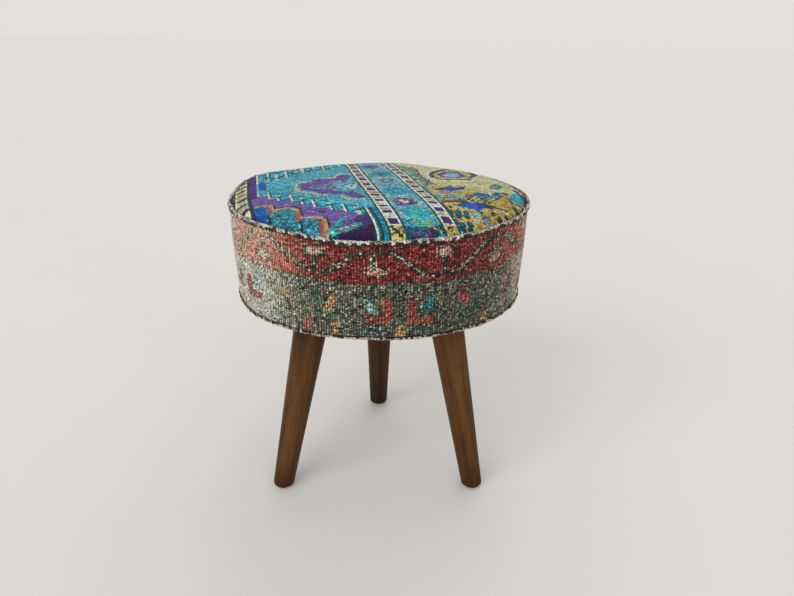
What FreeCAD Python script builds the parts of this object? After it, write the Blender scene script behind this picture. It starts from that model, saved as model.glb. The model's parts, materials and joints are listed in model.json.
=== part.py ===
import FreeCAD, Part
import math
import os

# A round upholstered stool: a drum covered in knotted carpet on three splayed, tapered wooden legs.
# Millimetres, +Z up. The origin lies on the floor under the centre of the seat. Two legs stand
# towards the front, -Y, and one towards the back, +Y.

# Heights of the drum, from its underside up
seat_underside = 290.0
bottom_board_thickness = 18.0
post_length = 57.0
top_board_thickness = 15.0
edge_foam_depth = 32.0

# Covering: the side carpet's outside radius at its lower edge, how far it widens towards its upper
# edge, and the crown of the top
side_radius_bottom = 193.5
side_flare = 4.5
carpet_thickness = 5.0
carpet_edge_rise = 4.5
crown_rise = 19.5
crown_power = 3.2
crown_points = 12

# Sewn edges: overcast cords that stand out a little from the side carpet
top_edge_cord_radius = 3.0
bottom_edge_cord_radius = 2.5
edge_cord_proud = 2.0
stitch_gap = 0.2

# Padding, hoop and frame
side_padding_thickness = 6.7
hoop_thickness = 4.0
soft_gap = 0.3
hoop_gap = 0.25
post_count = 6
post_width = 35.0
post_inset = 12.0

# Post screws, countersunk: one from each board into each post, side by side
post_screw_length = 40.0
post_screw_radius = 1.9
post_screw_head_radius = 4.0
post_screw_head_depth = 2.4
post_screw_offset = 7.0
pilot_gap = 0.1

# Nails of the hoop
nail_count = 12
nail_radius = 0.8
nail_length = 22.0

# Hem strip and dust cover under the bottom board, and their staples
hem_thickness = 1.0
hem_on_board = 27.5
cover_thickness = 0.6
cover_on_hem = 10.0
cover_window_gap = 2.0
hem_staple_count = 36
hem_staple_inset = 9.5
cover_staple_count = 24
cover_staple_inset = 5.0
staple_width = 10.0
staple_depth = 10.0
staple_wire = 0.6
staple_wire_width = 1.2

# Legs: their axes cross the underside of the board at an inset from its edge, and splay outwards
leg_splay_degrees = 12.0
leg_inset = 79.6
leg_places = ("rear", "front_left", "front_right")
rear_leg_azimuth_degrees = 90.0
leg_top_radius = 24.2
leg_foot_radius = 14.6
leg_top_rounding = 1.5
leg_foot_rounding = 3.5
foot_pad_thickness = 3.0
foot_pad_radius = 10.5

# Leg plate: a square flange with an angled, threaded boss
plate_width = 62.0
plate_thickness = 2.5
plate_corner_radius = 6.0
boss_length = 12.0
boss_radius = 14.0
plate_screw_inset = 8.0
plate_screw_length = 16.0
plate_screw_radius = 1.9
plate_screw_head_radius = 4.2
plate_screw_head_height = 2.2
plate_hole_gap = 0.4

# Hanger bolt: its free end is threaded into the boss, its other end sits in the leg
bolt_radius = 4.0
bolt_running_gap = 0.05
bolt_free_length = 20.0
bolt_seated_length = 44.7
bolt_end_gap = 0.3
bolt_chamfer = 0.6
board_relief_gap = 1.5

# Values for every piece
cut_overrun = 8.0
full_turn_degrees = 360.0
cubic_millimetres_per_cubic_centimetre = 1000

# Places worked out from the sizes above
bottom_board_top = seat_underside + bottom_board_thickness
top_board_underside = bottom_board_top + post_length
top_board_top = top_board_underside + top_board_thickness
edge_height = top_board_top + edge_foam_depth
hem_underside = seat_underside - hem_thickness
cover_underside = hem_underside - cover_thickness
plate_underside = seat_underside - plate_thickness
splay = math.radians(leg_splay_degrees)
leg_direction = FreeCAD.Vector(math.sin(splay), 0, -math.cos(splay))
sole_distance = (seat_underside - foot_pad_thickness) / math.cos(splay)
centre = FreeCAD.Vector(0, 0, 0)
up = FreeCAD.Vector(0, 0, 1)


def side_radius(height):
    """Outside radius of the side carpet, which widens evenly from its lower edge to its upper edge."""
    share = (height - hem_underside) / (edge_height - hem_underside)
    return side_radius_bottom + side_flare * share


def side_inner_radius(height):
    """Inside radius of the side carpet."""
    return side_radius(height) - carpet_thickness


side_bottom = hem_underside + bottom_edge_cord_radius + stitch_gap
side_top = edge_height - top_edge_cord_radius - stitch_gap
top_cord_circle_radius = side_radius(edge_height) + edge_cord_proud - top_edge_cord_radius
bottom_cord_circle_radius = side_radius_bottom + edge_cord_proud - bottom_edge_cord_radius
crown_radius = top_cord_circle_radius - top_edge_cord_radius - stitch_gap
hoop_outer_radius = side_inner_radius(seat_underside) - side_padding_thickness
hoop_inner_radius = hoop_outer_radius - hoop_thickness
board_radius = hoop_inner_radius - hoop_gap
leg_circle_radius = board_radius - leg_inset
post_circle_radius = board_radius - post_inset - post_width / 2
hem_inner_radius = board_radius - hem_on_board
hem_staple_circle_radius = board_radius - hem_staple_inset
cover_radius = hem_inner_radius + cover_on_hem
cover_staple_circle_radius = cover_radius - cover_staple_inset


def revolved(outline):
    """Solid of revolution about the stool's axis, from (radius, height) corners in order."""
    corners = [FreeCAD.Vector(radius, 0, height) for radius, height in outline]
    wire = Part.makePolygon(corners + corners[:1])
    return Part.Face(wire).revolve(centre, up, full_turn_degrees)


def turned(shape, azimuth_degrees):
    """A copy of the shape, turned about the stool's axis."""
    copy = shape.copy()
    copy.rotate(centre, up, azimuth_degrees)
    return copy


def around(shape, count, first_degrees=0):
    """Copies of the shape, evenly spaced about the stool's axis."""
    step = full_turn_degrees / count
    return [turned(shape, first_degrees + step * index) for index in range(count)]


def at_legs(shape):
    """Copies of the shape, one at each leg, in the order of the legs' places."""
    return around(shape, len(leg_places), rear_leg_azimuth_degrees)


def disc(radius, bottom, top):
    """Upright cylinder about the stool's axis."""
    return Part.makeCylinder(radius, top - bottom, FreeCAD.Vector(0, 0, bottom))


def on_leg_axis(distance):
    """Point on a leg's axis, at a distance down from the underside of the board."""
    return FreeCAD.Vector(leg_circle_radius, 0, seat_underside) + leg_direction * distance


def along_leg(radius, start, end):
    """Cylinder about a leg's axis between two distances from the underside of the board."""
    return Part.makeCylinder(radius, end - start, on_leg_axis(start), leg_direction)


def plate_screw_places():
    """The four screw places of a leg plate, each at the same inset from two of its sides."""
    half = plate_width / 2 - plate_screw_inset
    return [(leg_circle_radius + x, y) for x in (-half, half) for y in (-half, half)]


def crown_height(radius):
    """Height of the crown above the edge of the top carpet: rise * (1 - (radius / edge) ** power)."""
    return crown_rise * (1 - (radius / crown_radius) ** crown_power)


def crowned(radius, underside, lowering):
    """Crowned solid: its top follows the crown, lowered, and its underside is flat or the same crown."""
    steps = [radius * index / crown_points for index in range(crown_points + 1)]
    edge_top = edge_height + carpet_edge_rise - lowering
    upper = [FreeCAD.Vector(step, 0, edge_top + crown_height(step)) for step in steps]
    top_curve = Part.BSplineCurve()
    top_curve.interpolate(Points=upper)
    if underside is None:
        lower = [point - up * carpet_thickness for point in upper]
        low_curve = Part.BSplineCurve()
        low_curve.interpolate(Points=lower)
        low_edge = low_curve.toShape()
    else:
        lower = [FreeCAD.Vector(0, 0, underside), FreeCAD.Vector(radius, 0, underside)]
        low_edge = Part.makeLine(lower[0], lower[-1])
    rim = Part.makeLine(lower[-1], upper[-1])
    axis = Part.makeLine(lower[0], upper[0])
    wire = Part.Wire(Part.__sortEdges__([low_edge, rim, top_curve.toShape(), axis]))
    return Part.Face(wire).revolve(centre, up, full_turn_degrees)


def top_carpet():
    return crowned(crown_radius, None, 0)


def seat_foam():
    """Foam from the top board to the top carpet, with drawn-in sides inside the side carpet."""
    radius = side_inner_radius(edge_height - top_edge_cord_radius) - soft_gap
    blank = crowned(radius, top_board_top, carpet_thickness + soft_gap)
    waist = side_inner_radius(top_board_top) - soft_gap
    trim = revolved(
        [
            (waist, top_board_top),
            (radius + cut_overrun, top_board_top),
            (radius + cut_overrun, edge_height - top_edge_cord_radius),
            (radius, edge_height - top_edge_cord_radius),
        ]
    )
    return blank.cut(trim)


def side_carpet():
    return revolved(
        [
            (side_inner_radius(side_bottom), side_bottom),
            (side_radius(side_bottom), side_bottom),
            (side_radius(side_top), side_top),
            (side_inner_radius(side_top), side_top),
        ]
    )


def edge_cord(circle_radius, cord_radius, height):
    return Part.makeTorus(circle_radius, cord_radius, FreeCAD.Vector(0, 0, height))


def side_padding():
    inner = hoop_outer_radius + soft_gap
    return revolved(
        [
            (inner, seat_underside),
            (side_inner_radius(seat_underside) - soft_gap, seat_underside),
            (side_inner_radius(top_board_top) - soft_gap, top_board_top),
            (inner, top_board_top),
        ]
    )


def side_hoop():
    outer = disc(hoop_outer_radius, seat_underside, top_board_top)
    return outer.cut(disc(hoop_inner_radius, seat_underside - cut_overrun, top_board_top + cut_overrun))


def hoop_nails():
    """Headless nails through the hoop into the edge of each board, flush with the hoop."""
    inward = FreeCAD.Vector(-1, 0, 0)
    heights = [
        seat_underside + bottom_board_thickness / 2,
        top_board_underside + top_board_thickness / 2,
    ]
    nails = []
    for height in heights:
        start = FreeCAD.Vector(hoop_outer_radius, 0, height)
        nail = Part.makeCylinder(nail_radius, nail_length, start, inward)
        nails += around(nail, nail_count)
    return Part.makeCompound(nails)


def post_screw(gap, head_height, direction, offset):
    """Countersunk screw at a post, its head level with a board's face; a gap makes its hole."""
    start = FreeCAD.Vector(post_circle_radius, offset, head_height)
    narrow = post_screw_radius + gap
    wide = post_screw_head_radius + gap
    head = Part.makeCone(wide, narrow, post_screw_head_depth, start, direction)
    shank = Part.makeCylinder(narrow, post_screw_length + gap, start, direction)
    return head.fuse(shank).removeSplitter()


def top_post_screws(gap):
    return around(post_screw(gap, top_board_top, -up, post_screw_offset), post_count)


def bottom_post_screws(gap):
    return around(post_screw(gap, seat_underside, up, -post_screw_offset), post_count)


def post():
    corner = FreeCAD.Vector(post_circle_radius - post_width / 2, -post_width / 2, bottom_board_top)
    block = Part.makeBox(post_width, post_width, post_length, corner)
    top_hole = post_screw(pilot_gap, top_board_top, -up, post_screw_offset)
    bottom_hole = post_screw(pilot_gap, seat_underside, up, -post_screw_offset)
    return block.cut([top_hole, bottom_hole])


def top_board():
    board = disc(board_radius, top_board_underside, top_board_top)
    return board.cut(top_post_screws(pilot_gap))


def bottom_board():
    """Board with the screw holes and, above each leg plate, room for the end of the hanger bolt."""
    board = disc(board_radius, seat_underside, bottom_board_top)
    reach = bolt_free_length - boss_length + board_relief_gap
    holes = [along_leg(bolt_radius + board_relief_gap, -reach, cut_overrun)]
    holes += plate_screws(pilot_gap)
    cuts = bottom_post_screws(pilot_gap)
    for hole in holes:
        cuts += at_legs(hole)
    return board.cut(cuts)


def cover_windows():
    """Blocks that open the hem strip and the dust cover around each leg plate."""
    width = plate_width + 2 * cover_window_gap
    corner = FreeCAD.Vector(leg_circle_radius - width / 2, -width / 2, cover_underside - cut_overrun)
    block = Part.makeBox(width, width, hem_thickness + cover_thickness + cut_overrun, corner)
    return at_legs(block)


def hem_strip():
    outer_radius = bottom_cord_circle_radius - bottom_edge_cord_radius - stitch_gap
    strip = disc(outer_radius, hem_underside, seat_underside)
    hole = disc(hem_inner_radius, hem_underside - cut_overrun, seat_underside + cut_overrun)
    return strip.cut([hole] + cover_windows())


def dust_cover():
    return disc(cover_radius, cover_underside, hem_underside).cut(cover_windows())


def staples(circle_radius, count, under):
    """Staples driven up: the crown lies under a layer and the two legs go into the board."""
    half = staple_width / 2
    low = under - staple_wire
    high = low + staple_depth
    outline = [
        (-half, low),
        (half, low),
        (half, high),
        (half - staple_wire, high),
        (half - staple_wire, under),
        (staple_wire - half, under),
        (staple_wire - half, high),
        (-half, high),
    ]
    inner_side = circle_radius - staple_wire_width / 2
    corners = [FreeCAD.Vector(inner_side, y, z) for y, z in outline]
    face = Part.Face(Part.makePolygon(corners + corners[:1]))
    staple = face.extrude(FreeCAD.Vector(staple_wire_width, 0, 0))
    between = full_turn_degrees / count / 2
    return Part.makeCompound(around(staple, count, between))


def plate_screws(gap):
    """The four screws of a leg plate; a gap makes their holes in the board."""
    screws = []
    for x, y in plate_screw_places():
        head_base = FreeCAD.Vector(x, y, plate_underside - plate_screw_head_height)
        head = Part.makeCylinder(plate_screw_head_radius + gap, plate_screw_head_height, head_base)
        shank_base = FreeCAD.Vector(x, y, plate_underside)
        shank = Part.makeCylinder(plate_screw_radius + gap, plate_screw_length + gap, shank_base)
        screws.append(head.fuse(shank))
    return screws


def leg_plate():
    corner = FreeCAD.Vector(leg_circle_radius - plate_width / 2, -plate_width / 2, plate_underside)
    flange = Part.makeBox(plate_width, plate_width, plate_thickness, corner)
    upright = [edge for edge in flange.Edges if edge.BoundBox.ZLength > plate_thickness / 2]
    flange = flange.makeFillet(plate_corner_radius, upright)
    boss = along_leg(boss_radius, -cut_overrun, boss_length)
    reach = plate_width + cut_overrun
    above_corner = FreeCAD.Vector(leg_circle_radius - reach / 2, -reach / 2, seat_underside)
    above = Part.makeBox(reach, reach, reach, above_corner)
    plate = flange.fuse(boss).cut(above)
    holes = [along_leg(bolt_radius + bolt_running_gap, -cut_overrun, boss_length + cut_overrun)]
    for x, y in plate_screw_places():
        base = FreeCAD.Vector(x, y, plate_underside - cut_overrun)
        height = plate_thickness + 2 * cut_overrun
        holes.append(Part.makeCylinder(plate_screw_radius + plate_hole_gap, height, base))
    return plate.cut(holes)


def hanger_bolt():
    rod = along_leg(bolt_radius, boss_length - bolt_free_length, boss_length + bolt_seated_length)
    ends = [edge for edge in rod.Edges if len(edge.Vertexes) == 1]
    return rod.makeChamfer(bolt_chamfer, ends)


def leg():
    """Tapered leg: square to its axis at the top, cut level with the floor at the sole."""
    length = sole_distance - boss_length
    taper = (leg_top_radius - leg_foot_radius) / length
    end_radius = leg_foot_radius - taper * cut_overrun
    top = on_leg_axis(boss_length)
    blank = Part.makeCone(leg_top_radius, end_radius, length + cut_overrun, top, leg_direction)
    below_depth = 2 * cut_overrun + foot_pad_thickness
    below = disc(leg_circle_radius + seat_underside, foot_pad_thickness - below_depth, foot_pad_thickness)
    blank = blank.cut(below)
    near_sole = foot_pad_thickness + leg_foot_rounding
    sole = [edge for edge in blank.Edges if edge.BoundBox.ZMax < near_sole]
    blank = blank.makeFillet(leg_foot_rounding, sole)
    rim = [edge for edge in blank.Edges if edge.CenterOfMass.distanceToPoint(top) < leg_top_rounding]
    blank = blank.makeFillet(leg_top_rounding, rim)
    bore_end = boss_length + bolt_seated_length + bolt_end_gap
    bore = along_leg(bolt_radius + bolt_running_gap, boss_length - cut_overrun, bore_end)
    return blank.cut(bore)


def foot_pad():
    sole_centre = on_leg_axis(sole_distance)
    base = FreeCAD.Vector(sole_centre.x, sole_centre.y, 0)
    return Part.makeCylinder(foot_pad_radius, foot_pad_thickness, base)


def drum_nodes():
    """Every piece of the drum, by name."""
    nodes = {
        "bottom_board": bottom_board(),
        "top_board": top_board(),
        "side_hoop": side_hoop(),
        "hoop_nails": hoop_nails(),
        "top_post_screws": Part.makeCompound(top_post_screws(0)),
        "bottom_post_screws": Part.makeCompound(bottom_post_screws(0)),
        "side_padding": side_padding(),
        "seat_foam": seat_foam(),
        "side_carpet": side_carpet(),
        "top_carpet": top_carpet(),
        "top_edge_cord": edge_cord(top_cord_circle_radius, top_edge_cord_radius, edge_height),
        "bottom_edge_cord": edge_cord(bottom_cord_circle_radius, bottom_edge_cord_radius, hem_underside),
        "hem_strip": hem_strip(),
        "hem_staples": staples(hem_staple_circle_radius, hem_staple_count, hem_underside),
        "dust_cover": dust_cover(),
        "cover_staples": staples(cover_staple_circle_radius, cover_staple_count, cover_underside),
    }
    for index, piece in enumerate(around(post(), post_count)):
        nodes[f"post_{index + 1}"] = piece
    return nodes


def leg_nodes():
    """Every piece of the three legs, by name."""
    pieces = {
        "plate": leg_plate(),
        "plate_screws": Part.makeCompound(plate_screws(0)),
        "bolt": hanger_bolt(),
        "leg": leg(),
        "pad": foot_pad(),
    }
    nodes = {}
    for name, piece in pieces.items():
        for place, copy in zip(leg_places, at_legs(piece)):
            nodes[f"{place}_{name}"] = copy
    return nodes


os.makedirs("parts", exist_ok=True)
for name, shape in {**drum_nodes(), **leg_nodes()}.items():
    shape.exportStep(f"parts/{name}.step")
    box = shape.optimalBoundingBox()
    volume = shape.Volume / cubic_millimetres_per_cubic_centimetre
    extent = f"{box.XLength:.1f} x {box.YLength:.1f} x {box.ZLength:.1f} mm from z {box.ZMin:.2f}"
    print(f"{name}: {len(shape.Solids)} solids, {volume:.1f} cm3, {extent}, valid {shape.isValid()}")
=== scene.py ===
# %% [markdown]
# # An upholstered stool on three legs
# A drum-shaped stool: a crowned top and a straight side, both cut from old knotted carpets, sewn
# together with an overcast edge, on three splayed and stained wooden legs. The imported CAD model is
# the fixed frame, and everything that is soft on it is made again here as what it is.

# %% Load the frame
import json

import bpy
import numpy as np
from mathutils import Matrix, Vector


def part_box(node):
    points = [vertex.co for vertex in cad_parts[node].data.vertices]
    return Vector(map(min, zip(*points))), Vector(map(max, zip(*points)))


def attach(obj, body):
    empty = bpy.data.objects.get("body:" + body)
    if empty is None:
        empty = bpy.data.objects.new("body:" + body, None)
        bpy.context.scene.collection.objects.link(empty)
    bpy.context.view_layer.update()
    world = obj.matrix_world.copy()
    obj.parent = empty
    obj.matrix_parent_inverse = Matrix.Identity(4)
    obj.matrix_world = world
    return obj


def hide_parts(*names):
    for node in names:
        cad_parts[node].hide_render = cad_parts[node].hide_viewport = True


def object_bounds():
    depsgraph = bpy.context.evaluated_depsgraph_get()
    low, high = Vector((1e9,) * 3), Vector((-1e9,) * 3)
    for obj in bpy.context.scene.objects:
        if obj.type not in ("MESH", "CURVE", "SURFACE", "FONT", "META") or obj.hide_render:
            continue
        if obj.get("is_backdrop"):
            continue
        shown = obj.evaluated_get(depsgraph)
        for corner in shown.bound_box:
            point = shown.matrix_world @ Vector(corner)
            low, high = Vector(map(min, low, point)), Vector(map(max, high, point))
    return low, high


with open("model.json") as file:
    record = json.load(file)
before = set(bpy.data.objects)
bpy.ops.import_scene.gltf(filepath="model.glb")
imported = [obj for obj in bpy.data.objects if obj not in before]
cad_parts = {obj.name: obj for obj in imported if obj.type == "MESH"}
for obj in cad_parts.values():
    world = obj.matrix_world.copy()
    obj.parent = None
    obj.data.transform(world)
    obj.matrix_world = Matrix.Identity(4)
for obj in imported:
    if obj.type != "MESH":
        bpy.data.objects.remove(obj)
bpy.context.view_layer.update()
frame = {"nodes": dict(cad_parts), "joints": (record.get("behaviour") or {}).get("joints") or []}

MM = 0.001
draws = np.random.default_rng(11)


def heights(node):
    """The lowest and the highest height of a CAD node, in millimetres."""
    low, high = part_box(node)
    return low.z / MM, high.z / MM


def half_width(node):
    """How far a CAD node reaches to the right of the middle, in millimetres."""
    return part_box(node)[1].x / MM


# %% [markdown]
# ## The camera
# The photograph was taken standing in front of the stool and looking down on it, so both the top
# and the legs show. The camera's place and angles come from points measured on the legs and the
# rim. It could be placed by hand until the outline fits, but three named angles say more: how far
# it looks down, how far it is turned, and how far it leans.

# %% Camera
CAMERA_PLACE = np.array([0.0, -926.97, 635.62])
LOOKS_DOWN, TURNED, LEANS = np.radians([21.884, 1.57, 1.006])
LENS_MM, SENSOR_MM = 31.537, 36.0


def camera_axes(down, turned, leans):
    """Right, up and back: the forward direction from the two angles, then a lean about it."""
    forward = np.array([np.sin(turned) * np.cos(down), np.cos(turned) * np.cos(down), -np.sin(down)])
    level = np.array([np.cos(turned), -np.sin(turned), 0.0])
    above = np.cross(level, forward)
    right = np.cos(leans) * level + np.sin(leans) * above
    return right, np.cos(leans) * above - np.sin(leans) * level, -forward


def linked(name, data):
    """A new object in the scene, which holds a camera, a mesh or a lamp."""
    holder = bpy.data.objects.new(name, data)
    bpy.context.scene.collection.objects.link(holder)
    return holder


camera = linked("camera", bpy.data.cameras.new("camera"))
camera.data.lens = LENS_MM
camera.data.sensor_width = SENSOR_MM
camera.data.clip_start = 0.05
turn = Matrix(np.array(camera_axes(LOOKS_DOWN, TURNED, LEANS)).T.tolist()).to_4x4()
camera.matrix_world = Matrix.Translation(Vector(CAMERA_PLACE * MM)) @ turn
bpy.context.scene.camera = camera
print("camera at", [round(x, 3) for x in camera.location], "lens", LENS_MM)

# %% [markdown]
# ## Shader sums that read as sums
# A finish is a small tree of nodes. Adding each node by hand hides the idea, so one class holds a
# number that varies over a surface, with plus, minus and times, and one method adds any other
# node: its type, its settings, then its values and links.


# %% Finishes
class Varying:
    """A number or colour that varies over a surface: one socket of a finish's node tree."""

    def __init__(self, finish, socket):
        self.finish, self.socket = finish, socket

    def __add__(self, other):
        return self.finish.sum("ADD", self, other)

    def __mul__(self, other):
        return self.finish.sum("MULTIPLY", self, other)

    def __rsub__(self, other):
        return self.finish.sum("SUBTRACT", other, self)

    __radd__, __rmul__ = __add__, __mul__


def rgb(*parts):
    """A colour as it is seen, in parts of 255, made linear: each part to the power 2.4 past its toe."""
    seen = np.clip(np.asarray(parts, float) / 255, 0, 1)
    linear = np.where(seen <= 0.04045, seen / 12.92, ((seen + 0.055) / 1.055) ** 2.4)
    return (*linear.tolist(), 1.0)


class Finish:
    """One material: a Principled shader whose constants are set on its own sockets."""

    def __init__(self, name, **constants):
        self.material = bpy.data.materials.new(name)
        self.material.use_nodes = True
        self.tree = self.material.node_tree
        self.shader = self.tree.nodes["Principled BSDF"]
        for socket, value in constants.items():
            self.shader.inputs[socket.replace("_", " ")].default_value = value
        self.place = self.node("TexCoord", out="Object")

    def node(self, kind, settings=(), values=(), out=0):
        """Adds a node of one type, sets its settings, then gives its sockets values or links."""
        node = self.tree.nodes.new("ShaderNode" + kind)
        for key, value in dict(settings).items():
            if key == "stops":
                self.set_stops(node.color_ramp, value)
            else:
                setattr(node, key, value)
        for key, value in dict(values).items():
            self.join(value, node.inputs[key])
        return Varying(self, node.outputs[out])

    def set_stops(self, ramp, stops):
        """Gives a ramp its colours: the two that it has are moved, and the others are added."""
        while len(ramp.elements) < len(stops):
            ramp.elements.new(0.5)
        for element, (at, colour) in zip(ramp.elements, stops):
            element.position = at
            element.color = colour

    def join(self, value, socket):
        """Links a varying value to a socket, or sets a constant on it."""
        if isinstance(value, Varying):
            self.tree.links.new(value.socket, socket)
        else:
            socket.default_value = value

    def sum(self, operation, a, b):
        return self.node("Math", {"operation": operation}, {0: a, 1: b})

    def wave(self, value):
        """The sine of a value."""
        return self.node("Math", {"operation": "SINE"}, {0: value})

    def part(self, letter, place=None):
        """How far a place lies along X, Y or Z."""
        return self.node("SeparateXYZ", {}, {0: place or self.place}, out=letter)

    def mix(self, share, a, b, how="MIX"):
        """Colour a where share is 0 and b where it is 1."""
        settings = {"data_type": "RGBA", "blend_type": how}
        return self.node("Mix", settings, {0: share, 6: a, 7: b}, out=2)

    def step(self, value, low, high):
        """0 below low, 1 above high, and smooth between them."""
        settings = {"interpolation_type": "SMOOTHSTEP"}
        return self.node("MapRange", settings, {"Value": value, 1: low, 2: high})

    def scaled(self, size, place=None):
        """The place on the piece, each direction multiplied on its own."""
        values = {0: place or self.place, 1: size}
        return self.node("VectorMath", {"operation": "MULTIPLY"}, values)

    def noise(self, per_metre, place=None, detail=2.0, rough=0.5):
        """Cloudy noise from 0 to 1, with so many clouds to a metre."""
        values = {"Vector": place or self.place, "Scale": per_metre, "Detail": detail}
        return self.node("TexNoise", {}, {**values, "Roughness": rough})

    def bump(self, height, millimetres, under=None):
        """Tilts the surface as if it stood out by the height, so many millimetres at 1."""
        values = {"Distance": millimetres * MM, "Height": height}
        if under is not None:
            values["Normal"] = under
        return self.node("Bump", {}, values)

    def show(self, **links):
        """Joins what varies to the shader, and gives back the material."""
        for socket, value in links.items():
            self.join(value, self.shader.inputs[socket.replace("_", " ")])
        return self.material


print("finishes can be made")

# %% [markdown]
# ## Meshes from arrays
# Every new piece is a grid of points worked out at once. One function puts the arrays into a mesh
# and says which body the piece rides on, what it replaces and which finish slot it uses. Corner
# colours hold the knots, because a carpet's picture is made of knots and not of paint.


# %% Mesh helpers
SCREEN_POWER = 2.2


def grid_faces(rows, columns, wrap_rows=False, wrap_columns=False):
    """Four-cornered faces of a grid stored row by row. Wrapping joins the last line to the first."""
    row = np.arange(rows if wrap_rows else rows - 1)
    column = np.arange(columns if wrap_columns else columns - 1)
    row, column = np.meshgrid(row, column, indexing="ij")
    up, along = (row + 1) % rows, (column + 1) % columns
    corners = [row * columns + column, row * columns + along, up * columns + along, up * columns + column]
    return np.stack(corners, -1).reshape(-1, 4)


def tube_faces(rows, columns):
    """Faces of a grid that is joined to itself both ways, as the surface of a ring is."""
    return grid_faces(rows, columns, wrap_rows=True, wrap_columns=True)


def full_turn(count):
    """So many angles, evenly spaced over a full turn."""
    return np.arange(count) * 2 * np.pi / count


def turned_points(r, angle, z):
    """Points at a radius and an angle round the upright middle line, and at a height."""
    return np.stack([r * np.cos(angle), r * np.sin(angle), z + 0 * angle], -1)


def make_piece(name, points, face_sets, material, body, replaced=(), colours=None):
    """A mesh object at the origin from points in millimetres, with its colours corner by corner."""
    corners = np.concatenate([faces.ravel() for faces in face_sets]).astype(np.int32)
    sizes = np.concatenate([np.full(len(faces), faces.shape[1]) for faces in face_sets])
    starts = np.concatenate([[0], np.cumsum(sizes)[:-1]]).astype(np.int32)
    mesh = bpy.data.meshes.new(name)
    mesh.vertices.add(len(points))
    mesh.vertices.foreach_set("co", (points * MM).astype(np.float32).ravel())
    mesh.loops.add(len(corners))
    mesh.loops.foreach_set("vertex_index", corners)
    mesh.polygons.add(len(sizes))
    mesh.polygons.foreach_set("loop_start", starts)
    mesh.update(calc_edges=True)
    mesh.polygons.foreach_set("use_smooth", np.ones(len(sizes), bool))
    if colours is not None:
        linear = np.ones((len(corners), 4), np.float32)
        linear[:, :3] = np.clip(colours / 255, 0, 1) ** SCREEN_POWER
        layer = mesh.color_attributes.new("yarn", "FLOAT_COLOR", "CORNER")
        layer.data.foreach_set("color", linear.ravel())
    mesh.materials.append(material)
    piece = linked(name, mesh)
    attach(piece, body)
    if replaced:
        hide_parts(*replaced)
    print(f"{name}: {len(points)} points, {int((sizes - 2).sum())} triangles")
    return piece


# %% [markdown]
# ## A knotter's chart
# A carpet's maker works from a chart in which each square is one knot. Here the chart is an array
# with one colour for each knot, and motifs are laid over it in order: filled outlines, lines and
# dashes, all in millimetres on the finished surface. Drawing in this way gives the small steps
# along each slanting edge that a knotted picture has.


# %% The chart
class Chart:
    """One colour for each knot, painted over by motifs whose points are given one by one."""

    def __init__(self, x, y, ground):
        self.x, self.y = x, y
        self.colour = np.empty(x.shape + (3,))
        self.colour[:] = ground

    def put(self, where, colour):
        self.colour[where] = colour

    def inside(self, outline):
        """True where a ray to the right crosses the outline an odd number of times."""
        px, py = np.array(outline, float).T
        qx, qy = np.roll(px, -1), np.roll(py, -1)
        x, y = self.x[..., None], self.y[..., None]
        crosses = (py > y) != (qy > y)
        at = px + (y - py) * (qx - px) / np.where(qy == py, 1e-9, qy - py)
        return (crosses & (x < at)).sum(-1) % 2 == 1

    def distance(self, line):
        """How far each knot is from a line of points: from each run, the part along it taken off."""
        line = np.array(line, float)
        a, run = line[:-1], np.diff(line, axis=0)
        dx, dy = self.x[..., None] - a[:, 0], self.y[..., None] - a[:, 1]
        share = np.clip((dx * run[:, 0] + dy * run[:, 1]) / (run**2).sum(1), 0, 1)
        return np.hypot(dx - share * run[:, 0], dy - share * run[:, 1]).min(-1)

    def fill(self, colour, *outline):
        self.put(self.inside(outline), colour)

    def line(self, colour, width, *points):
        self.put(self.distance(points) < width / 2, colour)

    def mottled(self, where, colour, *flecks):
        """Gives a place one colour, and then a share of its knots another one, fleck by fleck."""
        self.put(where, colour)
        for fleck, share in flecks:
            self.speckle(where, fleck, share)

    def beside(self, x, y, across, up):
        """True in a box round a middle: so far to each side, and so far up and down."""
        return (abs(self.x - x) < across) & (abs(self.y - y) < up)

    def spots(self, colour, wide, high, *centres, power=2.0):
        """Rounded spots: inside where the two offsets, each a share of half its size, add up below 1."""
        for x, y in centres:
            across, up = abs(self.x - x) / (wide / 2), abs(self.y - y) / (high / 2)
            self.put(across**power + up**power < 1, colour)

    def speckle(self, where, colour, share):
        """Gives a share of the knots in a place another colour."""
        self.put(where & (draws.random(self.x.shape) < share), colour)


print("charts can be drawn")

# %% [markdown]
# ## The rim and the crown
# The top is pulled over foam, so it is high in the middle and falls off quickly near the sewn rim.
# The rim sags at the front, where people sit down, and is never quite level, and the side stands
# out a little on the left. Each such bulge is a bell curve over the angle, and the top, the side
# and the edges all use the same ones, so they stay joined.

# %% Rim and crown
RIM = half_width("top_carpet")
RIM_HEIGHT = 416.5
CROWN_RISE = heights("top_carpet")[1] - RIM_HEIGHT
CROWN_POWER = 3.2
DRUM_FOOT, DRUM_TALL = 289.0, 123.0
RIM_BELLS = ((-5.4, 0, 52), (-3.0, -78, 26), (4.8, -114, 18), (1.8, 80, 34))
FOOT_BELL = (-3.6, -58, 32)
OUT_BELL = (2.4, -97, 28)
FRONT = -np.pi / 2


def from_front(angle):
    """The angle from the front of the stool, from -pi to pi, to the right as seen from there."""
    return (angle - FRONT + np.pi) % (2 * np.pi) - np.pi


def hill(place, middle, spread):
    """1 in the middle, falling as e to the minus square of the offset over the spread."""
    return np.exp(-(((place - middle) / spread) ** 2))


def plateau(value, start, rise, end, fall):
    """0 up to the start, then a straight rise to 1; later a straight fall, which is back at 0 by the end."""
    return np.clip((value - start) / rise, 0, 1) * np.clip((end - value) / fall, 0, 1)


def half_turned(degrees):
    """The same angle between -180 and 180 degrees."""
    return (degrees + 180) % 360 - 180


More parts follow.
